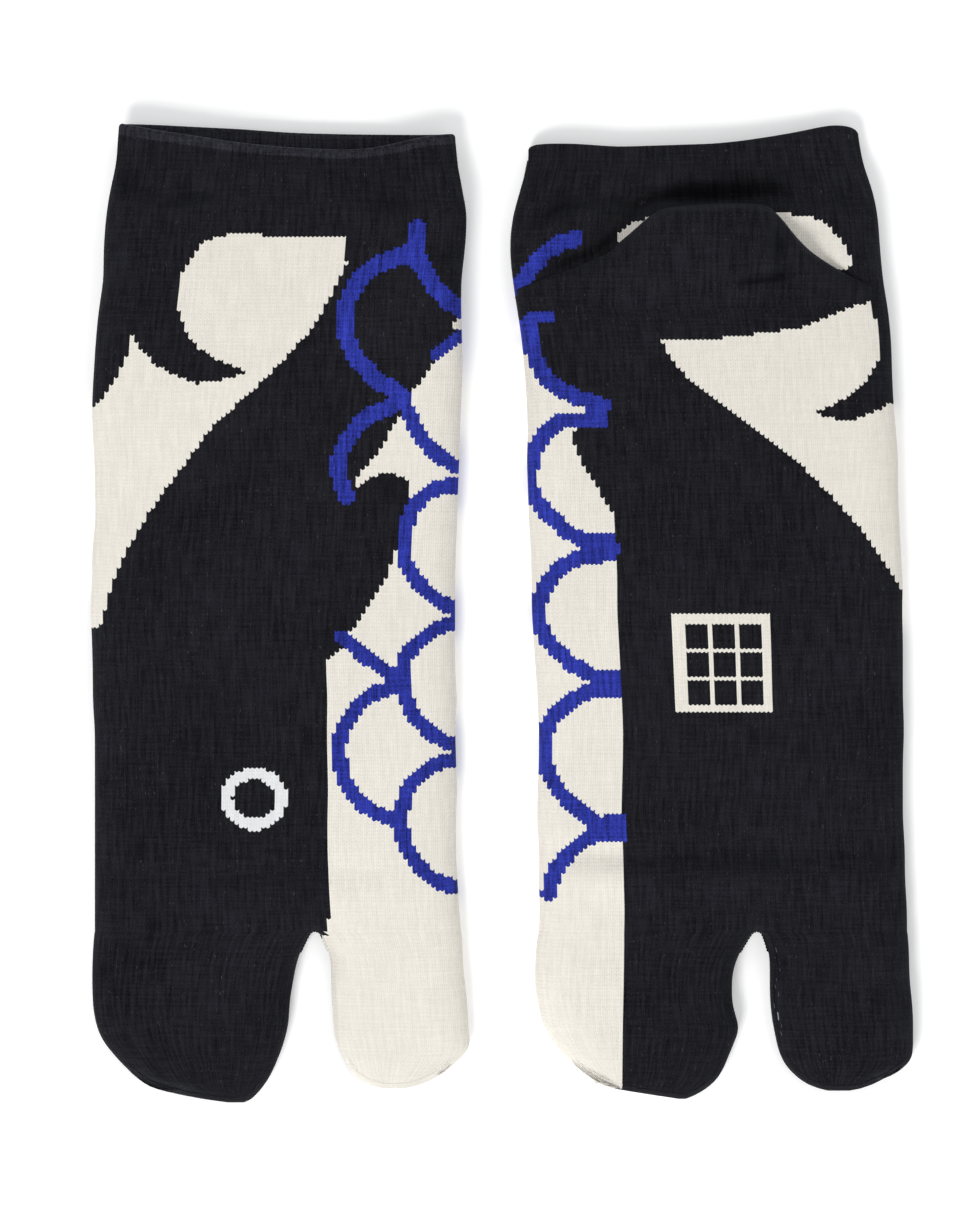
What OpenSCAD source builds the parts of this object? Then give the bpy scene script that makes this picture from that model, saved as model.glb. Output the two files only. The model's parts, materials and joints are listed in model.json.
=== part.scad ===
// A pair of split-toe ankle socks laid flat side by side. The right-foot sock
// lies instep up with its heel pouch folded flat underneath; the left-foot
// sock lies sole up with its heel pouch folded up over the back of the leg.
// Frame: +X across the pair, +Y towards the cuffs, +Z up. The origin is on the
// surface that the pair lies on, under the middle of the pair.
// Each section of knitting is a thin-walled flattened tube, so a foot can go in.

/* [Pair] */
// Length of one sock laid flat, from cuff rim to toe tip
sock_l = 241; // [220:1:260]
// Flat width across the foot of one sock
foot_w = 90; // [82:1:98]
// Clear gap between the two socks along most of the feet
pair_gap = 20; // [16:1:40]

/* [Knitting] */
// Thickness of the single knitted wall
wall = 1.3; // [1.1:0.1:1.5]
// Height of a leg or foot tube lying loosely filled
loft = 8.6; // [8:0.2:10]
// Height of the heel pouch folded on top of the left sock
pouch_loft = 7; // [6.6:0.2:9]
// Height of the heel pouch pressed flat under the right sock
pouch_flat = 2.4; // [2:0.1:3]
// Thickness of each layer of the turned cuff
welt_t = 0.7; // [0.5:0.1:0.8]
// Room between the two layers of the cuff, for the elastic
welt_room = 0.5; // [0.4:0.1:0.6]

/* [Folds] */
// Gap between sections that fold against each other
fold_gap = 0.3; // [0.2:0.1:0.5]
// Where the cuff folds, as a distance from the middle of the pair
cuff_y = 103; // [100:1:106]
// Where the ankle folds
ankle_y = 71; // [69:1:73]
// Where the toes part
split_y = -78; // [-80:1:-76]

/* [Seams] */
// Radius of the linked toe seams
seam_r = 0.6; // [0.4:0.1:0.7]

/* [Hidden] */

kx = foot_w / 90;          // across
ky = sock_l / 241;         // along
away = (pair_gap - 20) / 2;
P = 32;                    // points round a tube
E = 0.64;                  // how square a flattened tube's sides are
black = "#222226";
cream = "#e9e5d9";
elastic_white = "#d8d8d4";

// A section table is [left edge, right edge, height, underside], each a list
// of [y, value] that runs from low y to high y.

// Right-foot sock, instep up
R_L = [[-78, -100], [-65, -100], [-36, -100], [-7, -101], [8, -101], [22, -100],
       [37, -100], [52, -101], [67, -100], [74, -99], [82, -98], [89, -98],
       [96, -97], [104, -96], [111, -95], [120, -94]];
R_R = [[-78, -10], [-65, -11], [-36, -11], [8, -11.5], [22, -11], [37, -10.5],
       [52, -10], [74, -10], [82, -9.5], [89, -9], [96, -8.5], [104, -9.5],
       [111, -11], [120, -11.5]];
R_H = [[-78, loft], [120, loft]];
R_Z = [[-78, 0], [28, 0], [44, 0.5], [60, pouch_flat - 0.4], [71, pouch_flat + 0.3], [120, pouch_flat + 0.3]];
RIGHT = [R_L, R_R, R_H, R_Z];

RB_L = [[-118, -27], [-117, -31], [-114.5, -35.5], [-112, -37.5], [-109, -39.5],
        [-105, -41], [-100, -41.7], [-88, -42], [-84, -42.5], [-80, -44], [-78, -44.2]];
RB_R = [[-118, -24], [-117, -21.5], [-114.5, -16], [-112, -12.5], [-109, -9.5],
        [-105, -8], [-100, -8.2], [-95, -8.6], [-87, -9.6], [-78, -10]];
RB_H = [[-118, 3.6], [-114.5, 5.2], [-108, 7.6], [-100, loft], [-78, loft]];
FLAT = [[-125, 0], [125, 0]];
RIGHT_BIG = [RB_L, RB_R, RB_H, FLAT];

RF_L = [[-120.5, -72], [-119.5, -78], [-117, -85.5], [-114.5, -90], [-112, -93],
        [-107, -97], [-102, -99.7], [-97, -100.7], [-88, -101], [-78, -100]];
RF_R = [[-120.5, -63], [-119.5, -61.5], [-117, -59], [-114.5, -57.3], [-112, -56],
        [-107, -54], [-102, -52.7], [-97, -52.2], [-90, -51.2], [-84, -49.8], [-80, -48.2], [-78, -48]];
RF_H = [[-120.5, 3.6], [-117, 5.2], [-110, 7.6], [-102, loft], [-78, loft]];
RIGHT_FOUR = [RF_L, RF_R, RF_H, FLAT];

RP_L = [[80, -93], [84, -86], [88, -80], [92, -76], [96, -72], [99, -66], [101, -58]];
RP_R = [[80, -15], [84, -22], [88, -28], [92, -32], [96, -36], [99, -42], [101, -50]];
RP_H = [[80, pouch_flat], [101, pouch_flat]];
RIGHT_POUCH = [RP_L, RP_R, RP_H, FLAT];

// Left-foot sock, sole up
L_L = [[-78, 9.2], [-65, 9], [-36, 8.8], [-7, 8], [22, 6.8], [37, 6.2], [52, 6],
       [67, 4.5], [74, 4], [82, 3], [89, 2.6], [96, 3], [104, 4.2], [111, 5.4], [121, 6.2]];
L_R = [[-78, 99.8], [-65, 99], [-36, 98.8], [-7, 98.7], [22, 97.8], [37, 97.5],
       [52, 96.5], [67, 95.8], [74, 95], [82, 93.8], [89, 93], [96, 92.6],
       [104, 91.4], [111, 89], [121, 88.2]];
L_H = [[-78, loft], [121, loft]];
LEFT = [L_L, L_R, L_H, FLAT];

LF_L = [[-119.5, 40], [-118.5, 32], [-117, 26.5], [-114.5, 22], [-112, 19], [-107, 13.8],
        [-102, 10.5], [-97, 9], [-92, 8], [-87, 8.2], [-78, 9]];
LF_R = [[-119.5, 46], [-118.5, 48.5], [-117, 50.5], [-114.5, 53.2], [-112, 54.6],
        [-107, 56.6], [-102, 58], [-97, 57], [-92, 56.6], [-87, 57], [-82, 59.2], [-78, 61.4]];
LF_H = [[-119.5, 3.6], [-117, 5.2], [-110, 7.6], [-102, loft], [-78, loft]];
LEFT_FOUR = [LF_L, LF_R, LF_H, FLAT];

LB_L = [[-118, 81], [-117, 77.5], [-114.5, 73], [-112, 70.3], [-109, 68.8], [-105, 67.6],
        [-100, 66.6], [-92, 66], [-86, 65.9], [-82, 65.6], [-78, 65]];
LB_R = [[-118, 85.5], [-117, 89], [-114.5, 95], [-112, 98.6], [-109, 101], [-100, 101],
        [-92, 100.6], [-84, 100.2], [-78, 99.8]];
LB_H = [[-118, 3.6], [-114.5, 5.2], [-108, 7.6], [-100, loft], [-78, loft]];
LEFT_BIG = [LB_L, LB_R, LB_H, FLAT];

LP_L = [[80, 6.5], [82, 11], [84, 16.5], [88, 25], [92, 31], [96, 35.5], [99, 40], [101, 49]];
LP_R = [[80, 90], [82, 84], [84, 79.5], [88, 74.5], [92, 72], [96, 69], [99, 65.5], [101, 58]];
LP_H = [[80, pouch_loft], [94, pouch_loft], [98, 6], [101, 3.4]];
LP_Z = [[80, loft + 0.4], [101, loft + 0.4]];
LEFT_POUCH = [LP_L, LP_R, LP_H, LP_Z];

// Rows of sections, listed from the cuff end towards the toes
LEG_ROWS = [cuff_y - fold_gap, 96, 89, 80, ankle_y + fold_gap];
FOOT_ROWS = [ankle_y, 67, 60, 52, 44, 36, 28, 14, 0, -14, -28, -44, -60, split_y];
BIG_ROWS = [split_y - fold_gap, -82, -87, -92, -97, -101, -105, -109, -112, -114.5, -117, -118];
FOUR_ROWS = [split_y - fold_gap, -82, -87, -92, -97, -102, -107, -112, -114.5, -117, -119, -120.5];
LFOUR_ROWS = [split_y - fold_gap, -82, -87, -92, -97, -102, -107, -112, -114.5, -117, -118.5, -119.5];
POUCH_ROWS = [80, 82, 84, 88, 92, 96, 99, 101];

function sgn(v) = v < 0 ? -1 : 1;
function side(v) = sgn(v) * pow(abs(v), E);

// One section: points round a flattened tube at y, pulled in by inset.
// tilt raises one end of the row along Y and dip lowers its upper side.
function ring(t, y, inset = 0, tilt = 0, dip = 0, s = 1) =
    let (l = lookup(y, t[0]) + inset, r = lookup(y, t[1]) - inset,
         h = lookup(y, t[2]) / 2 - inset, z = lookup(y, t[3]) + lookup(y, t[2]) / 2)
    [for (i = [0 : P - 1])
        let (a = 360 * (i + 0.5) / P, u = side(cos(a)), v = side(sin(a)))
        [((l + r) / 2 + (r - l) / 2 * u) * kx + s * away,
         (y + tilt * u - dip * max(0, v) * (1 - u * u)) * ky,
         z + h * v]];

// Skin over a chain of rings of n points, closed into a loop or capped
module skin(rows, n, closed) {
    m = len(rows);
    pts = [for (r = rows) for (p = r) p];
    last = closed ? m - 1 : m - 2;
    sides = [for (k = [0 : last]) for (i = [0 : n - 1])
        let (a = k * n + i, b = k * n + (i + 1) % n,
             c = ((k + 1) % m) * n + (i + 1) % n, d = ((k + 1) % m) * n + i)
        each [[a, d, c], [a, c, b]]];
    caps = closed ? [] : [[for (i = [0 : n - 1]) i],
                          [for (i = [n - 1 : -1 : 0]) (m - 1) * n + i]];
    polyhedron(points = pts, faces = concat(sides, caps), convexity = 8);
}

// Open-ended tube of knitting through the rows
module tube(t, rows, s) {
    n = len(rows);
    skin(concat([for (y = rows) ring(t, y, 0, s = s)],
                [for (k = [n - 1 : -1 : 0]) ring(t, rows[k], wall, s = s)]), P, true);
}

// Pocket closed at its last row, with walls of thickness w
module pocket(t, rows, w, s) {
    n = len(rows);
    skin(concat([for (k = [n - 3 : -1 : 0]) ring(t, rows[k], w, s = s)],
                [for (y = rows) ring(t, y, 0, s = s)]), P, false);
}

// Turned double cuff, folded over at the rim and open at its lower edge
module welt(t, rim_y, tilt, dip, s) {
    a = welt_t;
    b = welt_t + welt_room;
    c = 2 * welt_t + welt_room;
    skin([ring(t, rim_y, 0, tilt, dip, s), ring(t, (rim_y + cuff_y) / 2, 0, tilt / 2, dip / 2, s), ring(t, cuff_y, 0, s = s),
          ring(t, cuff_y, a, s = s), ring(t, rim_y - a, a, tilt, dip, s),
          ring(t, rim_y - a, b, tilt, dip, s), ring(t, cuff_y, b, s = s),
          ring(t, cuff_y, c, s = s), ring(t, (rim_y + cuff_y) / 2, c, tilt / 2, dip / 2, s), ring(t, rim_y, c, tilt, dip, s)], P, true);
}

// Part of the way from ring a to ring b
function between(a, b, f) = [for (i = [0 : len(a) - 1]) a[i] * (1 - f) + b[i] * f];

// Elastic band laid in the room between the two layers of the cuff
module elastic(t, rim_y, tilt, dip, s) {
    a = welt_t + 0.08;
    b = welt_t + welt_room - 0.08;
    lo_a = ring(t, cuff_y, a, s = s);
    hi_a = ring(t, rim_y - welt_t, a, tilt, dip, s);
    lo_b = ring(t, cuff_y, b, s = s);
    hi_b = ring(t, rim_y - welt_t, b, tilt, dip, s);
    skin([between(lo_a, hi_a, 0.9), between(lo_a, hi_a, 0.12),
          between(lo_b, hi_b, 0.12), between(lo_b, hi_b, 0.9)], P, true);
}

// Linked seam: a round cord that follows points [x, y] at mid height of the pocket
module seam(t, path, s) {
    n = len(path);
    function dir(k) = let (a = path[max(k - 1, 0)], b = path[min(k + 1, n - 1)],
                           d = [b[0] - a[0], b[1] - a[1]]) d / norm(d);
    skin([for (k = [0 : n - 1]) let (d = dir(k))
            [for (i = [0 : 7]) let (w = 45 * i)
                [path[k][0] * kx - d[1] * seam_r * cos(w) + s * away,
                 path[k][1] * ky + d[0] * seam_r * cos(w),
                 lookup(path[k][1], t[2]) / 2 + seam_r * sin(w)]]], 8, false);
}

// Web of fabric that closes the foot between the two toe pockets
module gusset(x0, x1, s) {
    translate([x0 * kx + s * away, (split_y - 2.6) * ky, 0.5])
        cube([(x1 - x0) * kx, 2.6 * ky, loft - 1]);
}

module right_cuff() { color(black) welt(RIGHT, 119, -1.2, 3.6, -1); }
module right_cuff_elastic() { color(elastic_white) elastic(RIGHT, 119, -1.2, 3.6, -1); }
module right_leg() { color(black) tube(RIGHT, LEG_ROWS, -1); }
module right_heel_pouch() { color(black) pocket(RIGHT_POUCH, POUCH_ROWS, 0.9, -1); }
module right_foot() { color(black) tube(RIGHT, FOOT_ROWS, -1); }
module right_toe_gusset() { color(cream) gusset(-47.6, -44.6, -1); }
module right_big_toe() { color(cream) pocket(RIGHT_BIG, BIG_ROWS, wall, -1); }
module right_four_toes() { color(black) pocket(RIGHT_FOUR, FOUR_ROWS, wall, -1); }
module right_big_toe_seam() {
    color(cream) seam(RIGHT_BIG, [[-40.9, -86], [-40.6, -92], [-40.4, -98], [-39.7, -105], [-37.9, -109.5],
        [-34.8, -113], [-30, -114.3], [-25.5, -114.5], [-19, -113.8], [-14.4, -111.6], [-10.6, -108]], -1);
}
module right_four_toes_seam() {
    color(black) seam(RIGHT_FOUR, [[-51.6, -86], [-52.8, -92], [-53.6, -98], [-54.5, -104], [-56.9, -111],
        [-58.6, -114.4], [-62, -116.8], [-72, -117], [-83, -116.8], [-91.2, -112], [-95.6, -107]], -1);
}

module left_cuff() { color(black) welt(LEFT, 118, 2.5, 1.5, 1); }
module left_cuff_elastic() { color(elastic_white) elastic(LEFT, 118, 2.5, 1.5, 1); }
module left_leg() { color(black) tube(LEFT, LEG_ROWS, 1); }
module left_heel_pouch() { color(black) pocket(LEFT_POUCH, POUCH_ROWS, 1.1, 1); }
module left_foot() { color(black) tube(LEFT, FOOT_ROWS, 1); }
module left_toe_gusset() { color(cream) gusset(61.8, 64.6, 1); }
module left_big_toe() { color(black) pocket(LEFT_BIG, BIG_ROWS, wall, 1); }
module left_four_toes() { color(cream) pocket(LEFT_FOUR, LFOUR_ROWS, wall, 1); }
module left_big_toe_seam() {
    color(cream) seam(LEFT_BIG, [[67.2, -86], [67.3, -92], [67.8, -98], [68.9, -105], [70.4, -109.5],
        [72.6, -112.8], [76, -114.3], [84, -114.5], [92, -113.8], [96.8, -111.6], [99.7, -108]], 1);
}
module left_four_toes_seam() {
    color(cream) seam(LEFT_FOUR, [[56.1, -86], [55.3, -92], [55.7, -97], [56.7, -102], [55.3, -107],
        [53.3, -112], [49.8, -116.2], [40, -117], [29, -116.6], [23.3, -114.3], [20.3, -112], [15.1, -107]], 1);
}

right_cuff();
right_cuff_elastic();
right_leg();
right_heel_pouch();
right_foot();
right_toe_gusset();
right_big_toe();
right_four_toes();
right_big_toe_seam();
right_four_toes_seam();
left_cuff();
left_cuff_elastic();
left_leg();
left_heel_pouch();
left_foot();
left_toe_gusset();
left_big_toe();
left_four_toes();
left_big_toe_seam();
left_four_toes_seam();
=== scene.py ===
"""A pair of split-toe socks lying flat: the right one sole down, the left one sole up with its heel pocket folded up.
Everything is laid out in millimetres in the part's own frame, and turned into metres when a mesh is made."""
import json
import math

import bpy
import numpy as np
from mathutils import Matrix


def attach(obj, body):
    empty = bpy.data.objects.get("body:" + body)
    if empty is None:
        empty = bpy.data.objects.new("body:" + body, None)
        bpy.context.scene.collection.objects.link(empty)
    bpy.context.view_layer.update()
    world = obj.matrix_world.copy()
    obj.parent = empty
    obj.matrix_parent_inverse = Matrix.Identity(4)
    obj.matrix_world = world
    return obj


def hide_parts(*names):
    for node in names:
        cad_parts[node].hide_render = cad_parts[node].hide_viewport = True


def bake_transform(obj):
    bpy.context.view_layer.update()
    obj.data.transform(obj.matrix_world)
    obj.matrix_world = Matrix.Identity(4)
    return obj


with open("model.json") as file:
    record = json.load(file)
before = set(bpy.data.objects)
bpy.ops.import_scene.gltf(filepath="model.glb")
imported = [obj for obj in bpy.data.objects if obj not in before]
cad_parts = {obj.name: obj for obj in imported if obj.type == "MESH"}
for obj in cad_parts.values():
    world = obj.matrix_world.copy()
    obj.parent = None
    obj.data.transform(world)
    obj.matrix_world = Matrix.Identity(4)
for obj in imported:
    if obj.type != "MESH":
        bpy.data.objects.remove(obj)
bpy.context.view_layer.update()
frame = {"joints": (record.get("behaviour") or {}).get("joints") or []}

MM = 0.001
WALE = 1.1        # width of one column of knit loops
COURSE = 0.86     # height of one row of knit loops
CROTCH_Y = -78.2  # where the toe slot ends
CUFF_Y, ANKLE_Y = 98.04, 79.98   # piece borders, on whole courses

# ---------------------------------------------------------------- outlines, as (y, x) down each side, and the knitted design, as (x, y)
A_L = [(-77.7, -100.2), (-72.8, -100.2), (-65.4, -100.2), (-58.1, -100.2), (-50.7, -100.2), (-43.4, -100.2),
    (-36.0, -100.2), (-28.7, -100.2), (-21.3, -100.7), (-14.0, -100.7), (-6.6, -100.9), (0.7, -101.2), (8.1,
    -100.9), (15.4, -100.9), (22.8, -100.0), (30.1, -100.2), (37.5, -100.2), (44.8, -100.7), (52.2, -100.7),
    (59.5, -100.2), (66.9, -99.7), (74.2, -99.0), (81.6, -97.8), (88.9, -97.8), (96.3, -97.3), (103.6, -96.3),
    (107.3, -95.5), (112.2, -94.6), (115.9, -94.6), (120.0, -94.1), (135.5, -94.3)]
A_R = [(-77.7, -10.0), (-72.8, -10.5), (-65.4, -11.0), (-58.1, -11.3), (-50.7, -11.3), (-43.4, -11.0), (-36.0,
    -11.3), (-28.7, -11.5), (-21.3, -11.0), (-14.0, -11.5), (-6.6, -11.5), (0.7, -11.5), (8.1, -11.5), (15.4,
    -11.3), (22.8, -11.0), (30.1, -10.8), (37.5, -10.5), (44.8, -10.3), (52.2, -10.0), (59.5, -9.6), (66.9,
    -9.8), (74.2, -10.0), (81.6, -10.0), (88.9, -9.1), (92.6, -8.8), (96.3, -8.6), (100.0, -8.8), (103.6,
    -9.6), (107.3, -10.0), (112.2, -11.0), (115.9, -11.0), (118.3, -11.5), (135.5, -11.5)]
A4_L = [(-120.5, -67.1), (-120.0, -71.0), (-119.3, -75.7), (-118.1, -81.3), (-116.9, -85.5), (-115.9, -87.5),
    (-114.4, -89.7), (-112.0, -92.6), (-109.5, -94.8), (-107.1, -97.0), (-104.6, -98.7), (-102.2, -99.7),
    (-99.7, -100.2), (-97.3, -100.7), (-89.9, -100.9), (-82.6, -100.7), (-77.7, -100.2)]
A4_R = [(-120.5, -63.7), (-120.0, -62.2), (-119.3, -61.2), (-118.3, -60.3), (-116.9, -59.0), (-114.4, -57.3),
    (-112.0, -56.1), (-109.5, -55.1), (-107.1, -54.1), (-104.6, -53.4), (-102.2, -52.7), (-99.7, -52.4),
    (-94.8, -52.2), (-89.9, -51.2), (-87.5, -51.0), (-85.0, -50.2), (-82.6, -49.5), (-80.1, -48.3), (-78.9,
    -47.5), (-78.4, -46.8), (-78.2, -46.1)]
AB_L = [(-117.1, -27.9), (-116.9, -30.1), (-116.4, -31.8), (-115.4, -34.3), (-114.4, -35.8), (-113.4, -36.8),
    (-112.0, -37.7), (-109.5, -39.2), (-107.1, -40.2), (-104.6, -41.2), (-102.2, -41.4), (-99.7, -41.6),
    (-94.8, -41.9), (-89.9, -42.1), (-85.0, -41.9), (-82.6, -42.9), (-81.3, -43.1), (-80.1, -43.9), (-78.9,
    -44.3), (-78.4, -45.1), (-78.2, -46.1)]
AB_R = [(-117.1, -25.0), (-116.9, -23.0), (-116.4, -21.1), (-115.4, -18.1), (-114.4, -16.2), (-113.4, -14.7),
    (-112.0, -13.0), (-111.0, -11.8), (-109.5, -10.0), (-108.0, -8.6), (-106.6, -7.8), (-104.6, -7.8),
    (-102.2, -8.3), (-99.7, -8.3), (-94.8, -8.6), (-89.9, -9.1), (-87.5, -9.6), (-82.6, -9.6), (-77.7, -10.0)]
B_L = [(-77.7, 9.1), (-72.8, 9.3), (-65.4, 9.1), (-58.1, 9.1), (-50.7, 8.6), (-43.4, 8.8), (-36.0, 9.1),
    (-28.7, 9.1), (-21.3, 8.8), (-14.0, 8.3), (-6.6, 7.8), (0.7, 7.3), (8.1, 7.3), (15.4, 7.1), (22.8, 6.6),
    (30.1, 6.4), (37.5, 6.1), (44.8, 6.4), (52.2, 6.1), (59.5, 5.6), (66.9, 4.9), (71.8, 4.2), (76.7, 3.4),
    (81.6, 2.7), (85.3, 2.2), (88.9, 2.0), (92.6, 2.0), (96.3, 2.5), (100.0, 3.2), (103.6, 3.9), (107.3, 4.7),
    (111.0, 5.4), (113.4, 5.9), (115.4, 6.6), (135.5, 6.1)]
B_R = [(-77.7, 99.7), (-72.8, 99.7), (-65.4, 99.2), (-58.1, 99.2), (-50.7, 98.7), (-36.0, 98.7), (-28.7,
    99.0), (-21.3, 98.7), (-14.0, 98.7), (-6.6, 98.7), (0.7, 98.5), (8.1, 98.7), (15.4, 98.2), (22.8, 97.8),
    (30.1, 97.5), (37.5, 97.5), (44.8, 97.0), (52.2, 96.3), (59.5, 96.0), (66.9, 95.8), (74.2, 95.1), (81.6,
    93.8), (88.9, 93.1), (96.3, 92.6), (100.0, 92.1), (103.6, 91.4), (107.3, 90.4), (111.0, 89.2), (113.4,
    88.7), (115.9, 88.4), (118.1, 88.0), (119.6, 87.7), (135.5, 87.7)]
B4_L = [(-119.6, 43.6), (-119.1, 40.7), (-118.6, 36.8), (-117.8, 31.8), (-116.9, 26.9), (-115.6, 24.0),
    (-114.4, 22.1), (-113.4, 20.6), (-112.0, 18.6), (-109.5, 15.9), (-107.1, 13.7), (-104.6, 12.0), (-102.2,
    10.5), (-99.7, 9.6), (-97.3, 9.1), (-94.8, 8.6), (-92.4, 8.1), (-87.5, 8.1), (-82.6, 8.3), (-77.7, 9.1)]
B4_R = [(-119.6, 45.1), (-119.1, 46.5), (-118.3, 48.3), (-117.4, 49.7), (-116.4, 51.2), (-114.4, 53.2),
    (-112.0, 54.6), (-109.5, 55.6), (-107.1, 56.6), (-104.6, 57.6), (-103.6, 58.1), (-102.2, 58.6), (-100.5,
    58.1), (-98.5, 57.3), (-96.0, 56.6), (-92.4, 56.6), (-89.9, 56.6), (-87.5, 56.8), (-85.0, 57.8), (-82.6,
    58.8), (-80.1, 60.3), (-78.9, 61.2), (-78.4, 62.0), (-78.2, 62.7)]
BB_L = [(-117.6, 80.4), (-117.1, 78.2), (-116.4, 76.0), (-115.4, 74.2), (-114.4, 72.8), (-113.4, 71.8),
    (-112.0, 70.3), (-109.5, 68.8), (-107.1, 67.9), (-104.6, 67.4), (-102.2, 66.9), (-99.7, 66.4), (-97.3,
    66.2), (-94.8, 65.9), (-89.9, 65.9), (-85.0, 65.9), (-82.6, 65.7), (-80.1, 64.9), (-78.9, 64.2), (-78.4,
    63.7), (-78.2, 62.7)]
BB_R = [(-117.6, 85.3), (-117.1, 88.2), (-116.4, 90.4), (-115.4, 92.6), (-114.4, 94.3), (-113.4, 96.3),
    (-112.0, 98.7), (-111.0, 100.0), (-109.5, 100.9), (-107.6, 101.2), (-104.6, 101.2), (-99.7, 101.2),
    (-94.8, 100.9), (-92.4, 100.5), (-87.5, 100.2), (-82.6, 100.2), (-77.7, 99.7)]
A_RIM_TOP = [(-94.1, 120.3), (-92.9, 119.9), (-90.6, 119.6), (-86.2, 118.6), (-77.7, 117.4), (-64.9, 115.4),
    (-54.4, 114.4), (-45.8, 113.9), (-38.5, 113.7), (-32.8, 113.9), (-26.2, 115.1), (-20.1, 116.6), (-15.2,
    117.4), (-11.8, 117.7)]
A_RIM_BACK = [(-94.1, 120.3), (-86.2, 120.3), (-74.0, 119.9), (-64.9, 119.6), (-52.2, 118.8), (-34.8, 118.2),
    (-20.1, 117.8), (-11.8, 117.7)]
B_RIM_TOP = [(6.9, 115.1), (8.3, 115.5), (17.6, 115.4), (27.9, 114.7), (38.2, 115.0), (51.9, 115.4), (58.3,
    116.0), (65.9, 117.1), (73.0, 118.3), (79.1, 119.6), (83.1, 120.2), (85.8, 120.0), (87.2, 119.6), (88.0,
    118.6)]
A_TAIL = [(-38.0, 91.4), (-38.0, 84.8), (-40.7, 79.6), (-43.9, 73.3), (-47.0, 68.6), (-52.2, 63.0), (-58.6,
    56.4), (-64.9, 50.7), (-71.3, 44.8), (-76.0, 38.5), (-80.8, 32.1), (-86.0, 25.0), (-90.6, 17.4), (-93.8,
    11.0), (-96.3, 4.7), (-97.5, -0.5), (-98.5, -3.4), (-105.8, -4.7), (-105.8, 48.3), (-100.2, 50.7), (-97.5,
    52.7), (-93.8, 58.3), (-91.6, 63.0), (-90.6, 68.6), (-88.7, 64.2), (-84.3, 60.3), (-79.1, 57.6), (-74.5,
    55.9), (-69.3, 56.6), (-64.9, 57.8), (-62.2, 58.8), (-64.9, 60.0), (-70.1, 61.7), (-74.5, 64.9), (-77.7,
    69.3), (-79.1, 74.5), (-78.6, 81.6), (-76.4, 86.0), (-72.8, 90.4), (-66.2, 92.6), (-51.9, 91.6)]
A_BELLY = [(-4.2, 69.3), (-10.5, 66.9), (-15.7, 63.0), (-18.1, 58.3), (-20.8, 55.1), (-24.0, 51.2), (-25.0,
    47.5), (-27.2, 44.3), (-29.6, 39.7), (-35.5, 33.3), (-35.8, 30.6), (-32.8, 32.3), (-29.6, 34.1), (-26.5,
    34.3), (-23.3, 32.1), (-22.3, 28.9), (-23.3, 21.8), (-26.5, 13.5), (-28.4, 7.8), (-31.6, 3.2), (-34.3,
    -1.2), (-36.8, -4.4), (-39.4, -8.8), (-42.6, -12.0), (-42.1, -21.3), (-42.1, -36.0), (-42.4, -58.1),
    (-42.9, -75.7), (-43.6, -78.9), (-45.1, -81.3), (-45.1, -126.7), (-4.2, -126.7)]
A_BLUE = [
    ([(-20.6, 93.3), (-20.8, 89.9), (-21.3, 86.7)], 4.9),
    ([(-21.3, 88.0), (-26.5, 86.5), (-32.8, 83.1), (-36.8, 77.9), (-38.5, 71.8), (-37.2, 65.4), (-34.1,
      60.3), (-29.4, 56.1), (-24.0, 52.4)], 4.2),
    ([(-21.1, 87.2), (-19.1, 84.0), (-16.4, 79.6), (-13.2, 76.2), (-7.8, 72.8)], 4.2),
    ([(-7.8, 69.3), (-12.2, 66.2), (-16.2, 62.7)], 2.7),
    ([(-24.0, 51.7), (-27.4, 50.2), (-32.8, 47.8), (-37.2, 43.1), (-39.7, 38.0), (-39.7, 32.8), (-38.0,
      28.4)], 3.9),
    ([(-24.0, 51.7), (-22.1, 47.0), (-19.8, 42.9), (-16.4, 39.0), (-8.3, 34.1)], 3.7),
    ([(-6.6, 31.6), (-11.5, 31.1), (-15.7, 30.4), (-19.8, 27.7), (-22.5, 23.8), (-23.8, 18.6), (-23.8,
      13.5), (-21.8, 8.8), (-18.1, 4.9), (-13.5, 1.7), (-7.3, -1.0)], 3.7),
    ([(-6.6, -0.2), (-11.5, -2.2), (-16.9, -4.7), (-21.8, -8.6), (-24.3, -13.5), (-24.0, -19.8), (-21.3,
      -25.5), (-16.9, -29.9), (-12.2, -32.6), (-6.6, -35.0)], 3.7),
    ([(-6.6, -34.5), (-11.5, -36.0), (-16.9, -37.7), (-21.3, -41.2), (-24.0, -46.1), (-24.5, -53.2),
      (-22.8, -58.8), (-18.6, -63.9), (-13.5, -66.9), (-6.6, -68.8)], 3.7),
    ([(-39.4, -6.1), (-34.3, -10.3), (-29.6, -13.7), (-24.5, -16.2)], 3.4),
    ([(-24.5, -17.9), (-26.9, -18.6), (-31.1, -19.8), (-35.5, -23.3), (-39.0, -28.9), (-39.9, -33.8),
      (-38.7, -40.4), (-35.5, -45.6), (-31.1, -49.0), (-25.0, -51.4)], 3.7),
]
B_BELLY = [(-2.9, 66.9), (4.9, 66.9), (7.3, 63.7), (10.8, 56.8), (17.6, 52.9), (21.6, 51.0), (21.1, 47.3),
    (16.9, 43.4), (20.3, 35.0), (23.8, 29.6), (27.2, 24.0), (27.9, 15.9), (28.7, 2.2), (28.9, -11.8), (29.4,
    -18.4), (30.1, -39.0), (30.4, -56.1), (30.6, -73.5), (30.1, -94.8), (29.4, -126.7), (-2.9, -126.7)]
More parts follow.
